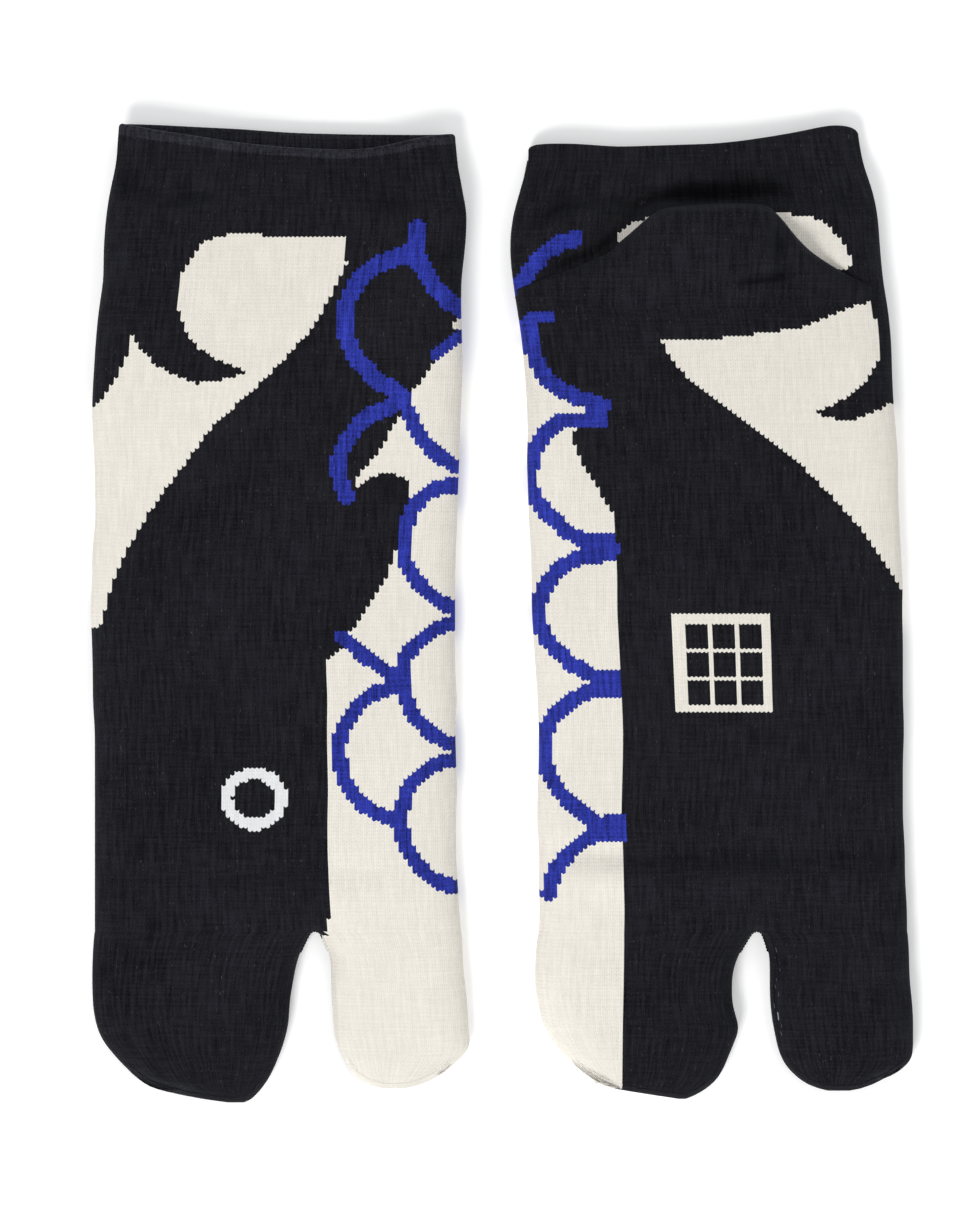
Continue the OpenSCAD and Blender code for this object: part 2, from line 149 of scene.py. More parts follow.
B_TAIL = [(39.0, 66.9), (48.5, 66.6), (59.0, 67.6), (72.8, 69.6), (83.1, 73.5), (89.9, 76.2), (91.9, 70.8),
    (92.4, 62.5), (89.2, 56.8), (83.8, 52.2), (76.7, 48.8), (79.6, 47.5), (86.5, 47.0), (93.3, 50.2), (96.8,
    51.7), (103.6, 52.2), (103.6, -1.7), (98.0, 5.6), (93.3, 12.5), (86.5, 22.1), (79.6, 29.6), (72.8, 36.5),
    (65.9, 41.9), (59.0, 46.8), (51.9, 52.2), (46.5, 56.4), (41.6, 61.7)]
B_BACK = [(29.0, 90.5), (28.5, 92.0), (28.9, 93.7), (31.0, 95.2), (34.0, 96.1), (37.0, 96.9), (48.5, 98.0), (63.2, 98.0), (74.0, 97.3), (78.2, 95.5),
    (82.3, 92.1), (84.8, 88.0), (85.8, 84.8), (73.0, 80.4), (36.3, 80.4), (30.9, 90.9)]
B_BLUE = [
    ([(18.2, 91.3), (15.4, 90.8), (12.6, 89.4), (8.9, 86.2), (4.2, 80.1)], 3.8),
    ([(12.0, 72.3), (8.5, 72.5), (7.0, 72.2), (5.5, 71.5)], 2.1),
    ([(6.9, 71.6), (6.6, 70.4), (6.9, 66.9), (8.3, 62.0), (11.3, 56.8), (17.6, 52.9), (25.0, 50.5)], 3.9),
    ([(22.8, 52.2), (22.8, 44.8)], 5.6),
    ([(21.6, 47.0), (14.2, 46.5), (9.8, 42.6), (7.3, 37.2), (7.1, 30.9), (9.8, 25.7), (14.2, 21.3), (19.8,
      17.6), (26.9, 15.7)], 3.9),
    ([(24.7, 19.4), (24.7, 12.7)], 6.4),
    ([(24.0, 14.0), (19.8, 13.7), (14.2, 10.5), (10.5, 6.1), (9.1, 0.7), (10.0, -4.9), (13.2, -9.1),
      (17.6, -13.0), (24.5, -16.7)], 3.9),
    ([(26.0, -14.2), (26.0, -21.1)], 6.4),
    ([(25.2, -18.9), (21.1, -19.6), (15.4, -22.8), (11.3, -27.9), (10.3, -33.6), (11.3, -39.0), (14.7,
      -44.6), (19.8, -49.2), (25.2, -52.9)], 3.9),
    ([(27.4, -49.2), (27.4, -56.1)], 5.9),
    ([(25.2, -54.1), (22.5, -54.6), (16.9, -58.6), (13.0, -63.7), (11.5, -69.1)], 3.9),
]
POUCH_TOP = [(2.2, 78.2), (2.7, 79.1), (6.9, 80.6), (12.2, 82.6), (17.6, 84.5), (22.1, 86.5), (26.0, 88.4),
    (29.4, 91.4), (32.3, 93.8), (35.3, 96.5), (38.2, 98.5), (41.6, 99.5), (46.1, 100.1), (51.4, 100.5), (57.1,
    100.6), (62.0, 100.3), (65.2, 99.5), (67.1, 97.8), (68.8, 96.0), (70.3, 94.1), (72.0, 91.9), (74.0, 89.7),
    (76.7, 87.5), (79.9, 85.5), (83.3, 83.5), (87.2, 81.6), (90.6, 80.1), (93.6, 78.6)]

# ---------------------------------------------------------------- outline functions


def gauss_smooth(v, sigma):
    r = max(1, int(3 * sigma))
    k = np.exp(-0.5 * (np.arange(-r, r + 1) / sigma) ** 2)
    k /= k.sum()
    p = np.concatenate([2 * v[0] - v[r:0:-1], v, 2 * v[-1] - v[-2:-r - 2:-1]])
    return np.convolve(p, k, "valid")


def side_line(tab, sigma=2.2):
    tab = sorted(tab)
    y = np.array([p[0] for p in tab])
    x = np.array([p[1] for p in tab])
    yy = np.arange(CROTCH_Y - 1, 136.0, 0.5)
    xx = gauss_smooth(np.interp(yy, y, x), sigma / 0.5)
    return lambda q: np.interp(q, yy, xx)


def lobe_line(tab, tip, end_x):
    """x of a toe lobe's edge against y, smoothed in the root of the height above the tip, where a round tip is nearly straight."""
    tab = sorted(tab)
    y = np.array([p[0] for p in tab])
    x = np.array([p[1] for p in tab])
    top = math.sqrt(CROTCH_Y - tip)
    s = np.linspace(0, top, 260)
    raw = np.interp(tip + s * s, y, x)
    out = gauss_smooth(raw, 0.2 / (top / 259))
    k = np.clip((s - (top - 0.35)) / 0.35, 0, 1)
    out = out + (raw - out) * k
    out[-1] = end_x
    ys = tip + s * s
    return lambda q: np.interp(q, ys, out)


def superell(d, r, n):
    q = np.clip(d / r, 0, 1)
    return (1 - (1 - q) ** n) ** (1 / n)


def smooth(a, b, v):
    t = np.clip((v - a) / (b - a), 0, 1)
    return t * t * (3 - 2 * t)


def bump2(x, y, cx, cy, sx, sy, ang=0.0):
    c, s = math.cos(ang), math.sin(ang)
    u = (x - cx) * c + (y - cy) * s
    v = -(x - cx) * s + (y - cy) * c
    return np.exp(-0.5 * ((u / sx) ** 2 + (v / sy) ** 2))


def cream_line(y):
    """Where the left sock's dark sole meets its pale side: one column of loops, carried straight on down the toes."""
    s = SOCKS["left"]
    at = s.wale_x(19, np.maximum(y, CROTCH_Y))
    return at + (29.5 - float(s.wale_x(19, CROTCH_Y))) * smooth(CROTCH_Y, -112, y)


class Sock:
    """One sock's plan outline, its columns of loops and the heights of its two faces."""

    def __init__(self, side):
        self.side = side
        r = side == "right"
        self.xl = side_line(A_L if r else B_L)
        self.xr = side_line(A_R if r else B_R)
        self.xc = -46.1 if r else 62.7
        f, b = (A4_L, A4_R) if r else (B4_L, B4_R), (AB_L, AB_R) if r else (BB_L, BB_R)
        self.tip = {"four": min(p[0] for p in f[0]), "big": min(p[0] for p in b[0])}
        y0 = CROTCH_Y
        self.lobe = {
            "four": (lobe_line(f[0], self.tip["four"], float(self.xl(y0))), lobe_line(f[1], self.tip["four"], self.xc)),
            "big": (lobe_line(b[0], self.tip["big"], self.xc), lobe_line(b[1], self.tip["big"], float(self.xr(y0)))),
        }
        w = float(self.xr(y0) - self.xl(y0))
        self.n4 = 2 * int(round((self.xc - float(self.xl(y0))) / WALE))
        self.nb = 2 * int(round((float(self.xr(y0)) - self.xc) / WALE))
        self.frac = self.n4 / (self.n4 + self.nb)
        self.off = (self.xc - float(self.xl(y0))) / w - self.frac
        self.segs = self._outline()

    def xm(self, y):
        """The column of loops that runs down to the toe slot."""
        k = self.frac + self.off * (1 - smooth(-78.2, -50, y))
        return self.xl(y) + (self.xr(y) - self.xl(y)) * k

    def wale_x(self, w, y):
        """x of a column of loops, counted from the left edge."""
        k4, kb = self.n4 / 2, self.nb / 2
        if w <= k4:
            return self.xl(y) + (self.xm(y) - self.xl(y)) * w / k4
        return self.xm(y) + (self.xr(y) - self.xm(y)) * (w - k4) / kb

    def _outline(self):
        pts = []
        ys = np.arange(135, CROTCH_Y, -0.5)
        pts.append(np.stack([self.xl(ys), ys], 1))
        for name in ("four", "big"):
            t = self.tip[name]
            s = np.linspace(math.sqrt(CROTCH_Y - t), 0, 90)
            yy = t + s * s
            a, b = self.lobe[name]
            pts.append(np.stack([a(yy), yy], 1))
            pts.append(np.stack([b(yy[::-1]), yy[::-1]], 1))
        pts.append(np.stack([self.xr(ys[::-1]), ys[::-1]], 1))
        p = np.concatenate(pts)
        return np.concatenate([p[:-1], p[1:]], 1)

    def dist(self, x, y):
        """How far each point is inside the plan outline, row by row."""
        out = np.zeros_like(x)
        a, b = self.segs[:, :2], self.segs[:, 2:]
        lo, hi = np.minimum(a[:, 1], b[:, 1]), np.maximum(a[:, 1], b[:, 1])
        for j in range(x.shape[0]):
            pick = (hi > y[j].min() - 13) & (lo < y[j].max() + 13)
            A, B = a[pick], b[pick]
            D = B - A
            L = np.maximum((D ** 2).sum(1), 1e-12)
            px, py = x[j][:, None] - A[None, :, 0], y[j][:, None] - A[None, :, 1]
            t = np.clip((px * D[:, 0] + py * D[:, 1]) / L, 0, 1)
            out[j] = np.sqrt(((px - t * D[:, 0]) ** 2 + (py - t * D[:, 1]) ** 2).min(1))
        return out

    # heights of the flattened tube

    def base(self, y):
        return 0.15 + (2.55 * smooth(24, 74, y) if self.side == "right" else 0.0 * y)

    def full(self, x, y):
        """How thick the flattened tube lies, its loft falling off towards the cuff's rim."""
        k = 1.0 if self.side == "right" else -1.0
        t = 8.0 + 0.22 * np.sin(x / 13.0 + k) * np.sin(y / 19.0 + 0.6) + 0.16 * np.sin(x / 7.1 - y / 11.0 + 2 * k)
        t = t + 0.25 * np.sin(y / 31.0 + 1.1 * k)
        t = t - 0.9 * smooth(CROTCH_Y, -118, y)
        return t - 3.3 * smooth(97, 114, y)

    def relief(self, x, y):
        """Soft hollows, ridges and creases of the upper face."""
        if self.side == "right":
            z = -2.8 * bump2(x, y, -89.0, 105.0, 3.6, 2.1) - 3.4 * bump2(x, y, -76.0, 102.8, 4.6, 1.9, 0.2)
            z += -3.0 * bump2(x, y, -27.6, 101.4, 4.8, 2.0, -0.1) + 0.5 * bump2(x, y, -52, 99.5, 14, 3) + 0.5 * bump2(x, y, -82, 108, 9, 3)
            z += -0.8 * bump2(x, y, -74, -63.8, 26, 1.9, 0.02) + 0.6 * bump2(x, y, -74, -69.6, 26, 2.6)
            z += -0.16 * bump2(x, y, -58, 66, 26, 2.2, -0.12)
            return z
        z = -4.7 * bump2(x, y, 13.2, 99.2, 5.0, 1.9, 0.5) - 3.4 * bump2(x, y, 33.0, 99.0, 3.4, 2.0, 0.7) - 4.0 * bump2(x, y, 27.0, 92.6, 5.0, 1.7, 0.72) - 2.8 * bump2(x, y, 16.0, 86.6, 5.0, 1.5, 0.36) - 5.0 * bump2(x, y, 49.0, 102.0, 16.5, 1.9, 0.02) - 0.3 * bump2(x, y, 50.0, 105.0, 15.0, 3.0, 0.02)
        z += -2.8 * bump2(x, y, 85.5, 103.0, 2.6, 4.6, 0.25) - 1.3 * bump2(x, y, 86, 82.0, 6, 1.8, -0.25)
        z += 1.3 * bump2(x, y, 22, 96.4, 6.5, 2.4, 0.6) + 0.7 * bump2(x, y, 75.0, 102.0, 5.5, 3.8, -0.3)
        z += -2.3 * bump2(x, y, 54, -58.4, 24, 2.3, 0.015) + 1.3 * bump2(x, y, 58, -65.4, 28, 3.0, 0.01)
        z += -0.3 * bump2(x, y, 64, 30, 22, 1.8, -0.1) - 0.25 * bump2(x, y, 50, -30, 24, 1.6, 0.06)
        return z

    def faces(self, x, y, d):
        """z of the upper and the lower face."""
        t = self.full(x, y)
        b = self.base(y)
        ze = b + 0.42 * t
        up = ze + 0.58 * t * superell(d, 9.5, 2.1) + self.relief(x, y) * smooth(0.3, 5.0, d)
        dn = ze - (ze - b) * superell(d, 5.5, 2.3)
        return up, dn, ze - 0.2 * t * smooth(0.5, 6.0, d)


SOCKS = {s: Sock(s) for s in ("right", "left")}

# ---------------------------------------------------------------- the knitted design

BLACK, CREAM, BLUE, WHITE = 0, 1, 2, 3


def inside(poly, x, y):
    p = np.array(poly, float)
    q = np.roll(p, -1, 0)
    res = np.zeros(x.shape, bool)
    for (x0, y0), (x1, y1) in zip(p, q):
        if y0 == y1:
            continue
        cross = (y0 > y) != (y1 > y)
        res ^= cross & (x < (x1 - x0) * (y - y0) / (y1 - y0) + x0)
    return res


def near_line(pts, x, y):
    """Distance to a line of points. A line of two points is a block with square ends."""
    best = np.full(x.shape, 1e9)
    for (x0, y0), (x1, y1) in zip(pts[:-1], pts[1:]):
        dx, dy = x1 - x0, y1 - y0
        raw = ((x - x0) * dx + (y - y0) * dy) / (dx * dx + dy * dy)
        t = np.clip(raw, 0, 1)
        d = np.hypot(x - x0 - t * dx, y - y0 - t * dy)
        if len(pts) == 2:
            d = np.where((raw < 0) | (raw > 1), 1e9, d)
        best = np.minimum(best, d)
    return best


def round_off(pts, steps=6):
    """A smooth line through the points."""
    p = np.array(pts, float)
    if len(p) < 3:
        return p
    e = np.concatenate([[2 * p[0] - p[1]], p, [2 * p[-1] - p[-2]]])
    out = []
    for i in range(1, len(e) - 2):
        a, b, c, d = e[i - 1], e[i], e[i + 1], e[i + 2]
        for t in np.linspace(0, 1, steps, endpoint=False):
            out.append(0.5 * (2 * b + (c - a) * t + (2 * a - 5 * b + 4 * c - d) * t ** 2 + (3 * b - a - 3 * c + d) * t ** 3))
    out.append(p[-1])
    return np.array(out)


A_BLUE = [(round_off(p), w) for p, w in A_BLUE]
B_BLUE = [(round_off(p), w) for p, w in B_BLUE]


def design_a(x, y, part="tube"):
    """The instep's design: a dark fish with an eye, a pale tail and belly, and blue scale arcs."""
    c = np.full(x.shape, BLACK)
    c[inside(A_TAIL, x, y) | inside(A_BELLY, x, y) | inside([(-12.6, 70.4), (-8.6, 73.2), (-8.6, 67.0)], x, y)] = CREAM
    low = y < -13
    line = np.where(y < -75, np.interp(y, [-83.0, -81.3, -79.5, -77.5, -75.0], [-46.1, -45.2, -43.9, -43.1, -42.8]),
                    SOCKS["right"].wale_x(53, np.maximum(y, CROTCH_Y)))
    c = np.where(low, np.where(x > line, CREAM, BLACK), c)
    for pts, w in A_BLUE:
        c[near_line(pts, x, y) < w / 2] = BLUE
    r1 = np.hypot((x + 60.7) / 8.1, (y + 45.8) / 7.6)
    r0 = np.hypot((x + 60.7) / 5.3, (y + 45.8) / 4.8)
    c[(r1 < 1) & (r0 > 1)] = WHITE
    return c


def design_b(x, y, part="tube"):
    """The sole's design, the continuation of the instep's round the sock, with a plain checked tab."""
    c = np.full(x.shape, BLACK)
    c[inside(B_BELLY, x, y) | inside(B_TAIL, x, y)] = CREAM
    low = y < 8
    c = np.where(low & (x < 60), np.where(x < cream_line(y), CREAM, BLACK), c)
    if part != "pouch":
        c[inside(B_BACK, x, y)] = CREAM
    for i, (pts, w) in enumerate(B_BLUE):
        if i == 0 and part == "pouch":
            continue
        c[near_line(pts, x, y) < w / 2] = BLUE
    # the tab keeps to whole columns and rows of loops
    s = SOCKS["left"]
    t = (x - s.xl(y)) / (s.xr(y) - s.xl(y)) * (s.n4 + s.nb) / 2
    col, row = np.floor(t + 1e-6) - 31, np.floor((y + 24.3) / COURSE)
    tab = (col >= 0) & (col < 22) & (row >= 0) & (row < 28)
    c[tab] = CREAM
    inner = (col >= 3) & (col < 20) & (row >= 2) & (row < 25)
    dark = inner & ((col - 3) % 6 != 5) & ((row - 2) % 8 != 7)
    c[tab & dark] = BLACK
    return c


def design(side, face, x, y, part="tube"):
    """The same tube of design is knitted on both socks, so each one's hidden face is the other's shown face, turned over."""
    s, o = SOCKS[side], SOCKS["left" if side == "right" else "right"]
    if face == "up":
        return (design_a if side == "right" else design_b)(x, y, part)
    yy = np.maximum(y, CROTCH_Y)
    t = (x - s.xl(yy)) / (s.xr(yy) - s.xl(yy))
    xo = o.xl(yy) + (1 - t) * (o.xr(yy) - o.xl(yy))
    return (design_b if side == "right" else design_a)(xo, y, part)


def srgb(r, g, b):
    v = np.array([r, g, b], float) / 255
    return np.where(v <= 0.04045, v / 12.92, ((v + 0.055) / 1.055) ** 2.4)


YARN = np.array([srgb(26, 26, 31), srgb(237, 232, 222), srgb(43, 53, 151), srgb(232, 233, 235), srgb(150, 160, 176), srgb(52, 52, 59), srgb(42, 42, 48), srgb(92, 97, 108)])
# YARN's entries 5 and 6 are black yarn made lighter as painted light: the first is a painted highlight along the cuff's
# turned rim, the second is painted light that lifts the shade inside the cuff and beside its rim
PAINTED_RIM_HIGHLIGHT, PAINTED_LIGHT_GREY = 5, 6

# ---------------------------------------------------------------- mesh building


def columns(counts, edges):
    """Parameters of the columns over segments of counts half-wales: (segment, share of it, wale coordinate). Extra fine columns beside each edge."""
    seg, t, w = [], [], []
    start = 0
    fine = (0.1, 0.32, 0.62)
    for k, n in enumerate(counts):
        vals = [i / n for i in range(n + 1)]
        if edges[k]:
            vals += [f / n for f in fine]
        if edges[k + 1]:
            vals += [1 - f / n for f in fine]
        vals = sorted(vals)
        if k:
            vals = vals[1:]
        for v in vals:
            seg.append(k)
            t.append(v)
            w.append((start + v * n) / 2)
        start += n
    return np.array(seg), np.array(t), np.array(w)


def rows_between(y0, y1, fine_low=False):
    ks = np.arange(math.ceil(y0 / COURSE + 1e-6), math.floor(y1 / COURSE - 1e-6) + 1) * COURSE
    ys = np.concatenate([[y0], ks[(ks > y0 + 0.2) & (ks < y1 - 0.2)], [y1]])
    if fine_low:
        ys = np.unique(np.concatenate([ys, y0 + np.array([0.012, 0.06, 0.16, 0.32, 0.55])]))
    return ys


def grid_xy(lines, ys, cols):
    seg, t, w = cols
    L = np.array([f(ys) for f in lines])           # line, row
    a, b = L[seg], L[seg + 1]                      # column, row
    return (a + (b - a) * t[:, None]).T            # row, column


def grid_normals(P, closed_cols):
    """Area-weighted unit normals of a grid of points, wrapping over its columns where closed."""
    Q = np.concatenate([P, P[:, :1]], 1) if closed_cols else P
    d1 = Q[1:, 1:] - Q[:-1, :-1]
    d2 = Q[1:, :-1] - Q[:-1, 1:]
    n = np.cross(d1, d2)
    R, C = P.shape[:2]
    N = np.zeros((R, C, 3))
    for dj in (0, 1):
        rows = slice(dj, dj + R - 1)
        if closed_cols:
            N[rows] += n + np.roll(n, 1, 1)
        else:
            N[rows, :-1] += n
            N[rows, 1:] += n
    L = np.linalg.norm(N, axis=2, keepdims=True)
    return N / np.maximum(L, 1e-12)


class Build:
    """Collects rings and grids of points into one mesh with its loops' colours and maps."""

    def __init__(self, name):
        self.name = name
        self.v, self.n = [], 0
        self.f, self.col, self.knit, self.bake = [], [], [], []
        self.sharp = []

    def verts(self, P):
        i = self.n + np.arange(P.shape[0])
        self.v.append(P)
        self.n += P.shape[0]
        return i

    def quads(self, F, col, knit, bake):
        """F (m,4) vertex indices; col (m,) yarn index; knit, bake (m,4,2)."""
        self.f.append(F)
        self.col.append(col)
        self.knit.append(knit)
        self.bake.append(bake)

    def make(self, material, smooth_faces=True):
        V = np.concatenate(self.v) * MM
        F = np.concatenate(self.f)
        col = np.concatenate(self.col)
        knit = np.concatenate(self.knit)
        bake = np.concatenate(self.bake)
        me = bpy.data.meshes.new(self.name)
        # a quad whose two corners are one point becomes a triangle
        same = np.array([F[:, k] == F[:, (k + 1) % 4] for k in range(4)])
        keep = ~same
        cnt = keep.sum(0)
        ok = cnt >= 3
        loops = F[ok][keep.T[ok]]
        starts = np.concatenate([[0], np.cumsum(cnt[ok])[:-1]])
        me.vertices.add(len(V))
        me.vertices.foreach_set("co", V.astype(np.float32).ravel())
        me.loops.add(len(loops))
        me.loops.foreach_set("vertex_index", loops.astype(np.int32))
        me.polygons.add(int(ok.sum()))
        me.polygons.foreach_set("loop_start", starts.astype(np.int32))
        me.polygons.foreach_set("loop_total", cnt[ok].astype(np.int32))
        me.update(calc_edges=True)
        me.validate()
        attr = me.color_attributes.new("Col", "FLOAT_COLOR", "CORNER")
        c = np.concatenate([YARN, np.ones((len(YARN), 1))], 1)[col]
        c4 = np.repeat(c[:, None, :], 4, 1)[ok][keep.T[ok]]
        attr.data.foreach_set("color", c4.astype(np.float32).ravel())
        for label, uv in (("knit", knit), ("OFBake", bake)):
            lay = me.uv_layers.new(name=label)
            lay.data.foreach_set("uv", uv[ok][keep.T[ok]].astype(np.float32).ravel())
        me.polygons.foreach_set("use_smooth", np.full(len(me.polygons), smooth_faces))
        me.materials.append(material)
        ob = bpy.data.objects.new(self.name, me)
        bpy.context.scene.collection.objects.link(ob)
        if self.sharp:
            sh = set()
            for a, b in self.sharp:
                sh.update((min(p, q), max(p, q)) for p, q in zip(a, b))
            ev = np.zeros(len(me.edges) * 2, np.int32)
            me.edges.foreach_get("vertices", ev)
            ev = ev.reshape(-1, 2)
            ev.sort(1)
            key = ev[:, 0].astype(np.int64) * (self.n + 1) + ev[:, 1]
            want = np.array([p * (self.n + 1) + q for p, q in sh], np.int64)
            at = me.attributes.get("sharp_edge") or me.attributes.new("sharp_edge", "BOOLEAN", "EDGE")
            at.data.foreach_set("value", np.isin(key, want))
        return ob


def strip_quads(A, B, closed=True):
    """Quads between ring A and ring B of vertex indices."""
    if closed:
        A2, B2 = np.roll(A, -1), np.roll(B, -1)
    else:
        A, B, A2, B2 = A[:-1], B[:-1], A[1:], B[1:]
    return np.stack([A, A2, B2, B], 1)


def arc_cols(P):
    """Running length along each row's columns, from the row's middle."""
    s = np.concatenate([np.zeros((P.shape[0], 1)), np.cumsum(np.linalg.norm(np.diff(P, axis=1), axis=2), 1)], 1)
    return s - s[:, -1:] / 2


def tube(name, side, lines, counts, edges, ys, wale0, material, closed_tip=False, wall=0.9, cuff=None, skip=4):
    """A closed shell between its rows ys: the outer face goes round the flattened tube, and the inner one lies a wall inside it."""
    s = SOCKS[side]
    cols = columns(counts, edges)
    seg, t, w = cols
    w = w + wale0
    X = grid_xy(lines, ys, cols)
    R, C = X.shape
    Yt = np.repeat(ys[:, None], C, 1)
    tri = 1 - np.abs(2 * (w - np.floor(w)) - 1)
    ramp = np.clip(np.minimum(np.arange(R), R - 1 - np.arange(R)) / 2.0, 0, 1)
    if closed_tip:
        ramp = np.clip((R - 1 - np.arange(R)) / 2.0, 0, 1) * smooth(1.5, 5.0, ys - ys[0])
    drop = -0.42 * COURSE * tri[None] * ramp[:, None]
    Yb = Yt.copy()
    if not cuff:
        Yt = Yt + drop
        Yb = Yt.copy()
    if cuff:
        v = (ys - ys[0]) / (ys[-1] - ys[0])
        xe = X[-1]
        top = np.interp(xe, *zip(*cuff["top"])) - cuff["t"] / 2
        bot = np.interp(xe, *zip(*cuff["back"])) - cuff["t"] / 2
        top, bot = gauss_smooth(top, 4), gauss_smooth(bot, 4)
        ends = smooth(0, 1.5, np.minimum(xe - xe[0], xe[-1] - xe))
        mid = (top + bot) / 2
        top, bot = mid + (top - mid) * ends, mid + (bot - mid) * ends
        Yt = ys[0] + (top[None] - ys[0]) * v[:, None] + drop
        Yb = ys[0] + (bot[None] - ys[0]) * v[:, None] + drop
    Dt = s.dist(X, Yt)
    Db = Dt if not cuff else s.dist(X, Yb)
    left_edge, right_edge = edges[0], edges[-1]
    for D in (Dt, Db):
        if left_edge:
            D[:, 0] = 0
        if right_edge:
            D[:, -1] = 0
        if closed_tip:
            D[0] = 0
    zt, _, ze = s.faces(X, Yt, Dt)
    _, zb, _ = s.faces(X, Yb, Db)
    # ridges of the columns of loops, and the cuff's ribs
    if cuff:
        rib = smooth(0.18, 0.3, v)[:, None] * (0.07 * (0.5 - 0.5 * np.cos(math.pi * w)) + 0.05 * (0.5 - 0.5 * np.cos(2 * math.pi * w)))[None]
        ridge = 0.05 * (0.5 - 0.5 * np.cos(2 * math.pi * w))[None] * (1 - smooth(0.18, 0.3, v))[:, None] + rib
    else:
        ridge = 0.05 * (0.5 - 0.5 * np.cos(2 * math.pi * w))[None] * np.ones((R, 1))
    zt = zt + ridge * smooth(0.1, 1.5, Dt)
    zb = np.maximum(zb - ridge * smooth(0.1, 1.5, Db), 0.06)
    T = np.stack([X, Yt, zt], 2)
    Bm = np.stack([X, Yb, zb], 2)
    for arr in (T, Bm):
        if left_edge:
            arr[:, 0, 2] = ze[:, 0]
        if right_edge:
            arr[:, -1, 2] = ze[:, -1]
        if closed_tip:
            arr[0, :, 2] = ze[0]
    ring = lambda t_, b_: np.concatenate([t_, b_[:, -2:0:-1]], 1)
    P = ring(T, Bm)
    L = P.shape[1]
    N = grid_normals(P, True)
    if closed_tip:
        N[0] = (0, -1, 0)
    m = Build(name)
    # outer rings
    idx = [m.verts(P[j]) for j in range(R)]
    back = np.concatenate([np.arange(C), np.arange(C - 2, 0, -1)])   # the upper column over each ring place
    if closed_tip:
        idx[0] = idx[0][back]
    # colours by stitch
    wi = np.floor((w[:-1] + w[1:]) / 2 - wale0 + 1e-9).astype(int)
    centre = np.array([int(np.argmin(np.abs(w - wale0 - (k + 0.5)))) for k in range(int(round(w[-1] - wale0)))])
    xc = (X[:-1][:, centre] + X[1:][:, centre]) / 2
    yct = (Yt[:-1][:, centre] + Yt[1:][:, centre]) / 2
    ycb = (Yb[:-1][:, centre] + Yb[1:][:, centre]) / 2
    if cuff:
        ct = np.zeros(xc.shape, int)
        if side == "right":
            # the right cuff's last two rows by the rim are painted a lighter black: painted highlight beside the rim
            ct[-2:] = PAINTED_LIGHT_GREY
        cb = ct.copy()
    else:
        ct = design(side, "up", xc, yct)
        cb = design(side, "down", xc, ycb)
    Ct, Cb = ct[:, wi], cb[:, wi]
    Cring = np.concatenate([Ct, Cb[:, ::-1]], 1)          # one per ring face
    # maps
    ncol = w - w[0] + wale0
    wt = w[-1] - wale0
    Uk = np.concatenate([w, w[-1] + (w[-1] - w[-2::-1])])                 # ring wale coordinate with the closing column
    Vt, Vb = Yt / COURSE, Yb / COURSE
    At, Ab = arc_cols(T), arc_cols(Bm)
    half = max(At.max(), Ab.max()) + 1.0
    height = max(Yt.max(), Yb.max()) - ys[0] + (4 if cuff else 0)
    S = max(4 * half, height * 1.22 + 2)
    y00 = ys[0]

    def bake_grid(Ac, Y, which):
        return np.stack([(Ac + half + (2 * half if which else 0)) / S, (Y - y00 + 0.5) / S], 2)

    bt, bb = bake_grid(At, Yt, 0), bake_grid(Ab, Yb, 1)
    kt = np.stack([np.repeat(w[None], R, 0), Vt], 2)
    kb = np.stack([np.repeat((2 * w[-1] - w)[None], R, 0), Vb], 2)

    def face_maps(top, bot):
        """(R-1, L, 4, 2) corner values from the two panels' grids."""
        def corners(G):
            return np.stack([G[:-1, :-1], G[:-1, 1:], G[1:, 1:], G[1:, :-1]], 2)
        ctop, cbot = corners(top), corners(bot)
        cb2 = cbot[:, ::-1][:, :, [1, 0, 3, 2]]
        return np.concatenate([ctop, cb2], 1)

    K, Bk = face_maps(kt, kb), face_maps(bt, bb)
    for j in range(R - 1):
        m.quads(strip_quads(idx[j], idx[j + 1]), Cring[j], K[j], Bk[j])
    # lip of a cuff, turned over its rim
    inner_col = BLACK if cuff else None
    vin = height + 1.0

    def small_map(k, jrow):
        """Inner faces share one narrow strip of the map."""
        out = Bk[min(jrow, R - 2)].copy()
        out[..., 1] = (vin + k * (0.2 * height) / 60.0) / S
        out[:, 2:, 1] += (0.2 * height) / 60.0 / S
        return out

    last = idx[-1]
    strip = 0
    if cuff:
        th = cuff["t"]
        # the inner face, a double wall inside
        def inner(A, up):
            q = A.copy()
            f = (X - X[:, :1]) / (X[:, -1:] - X[:, :1])
            q[..., 0] = X + th * (1 - 2 * f)
            room = np.maximum(np.abs(A[..., 2] - ze) - th, 0.22 * smooth(0.0, 1.2, Dt))
            q[..., 2] = ze + (room if up else -room)
            return q
        Ti, Bi = inner(T, True), inner(Bm, False)
        for arr in (Ti, Bi):
            arr[:, 0, 2] = ze[:, 0]
            arr[:, -1, 2] = ze[:, -1]
        Pi = ring(Ti, Bi)
        Po = P[-1]
        C0, h = (Po + Pi[-1]) / 2, (Po - Pi[-1]) / 2
        hl = np.minimum(np.linalg.norm(h, axis=1, keepdims=True), th / 2)
        for k, phi in enumerate(np.linspace(0, math.pi, 9)[1:]):
            pt = C0 + h * math.cos(phi) + np.array([0, 1.0, 0]) * hl * math.sin(phi)
            now = m.verts(pt)
            km = K[-1].copy()
            km[..., 1] = Yt[-1, 0] / COURSE + (k + np.array([0, 0, 1, 1]))[None] * 0.35
            bk = Bk[-1].copy()
            bk[..., 1] = (height - 4 + 0.5 + (k + np.array([0, 0, 1, 1]))[None] * 0.42) / S
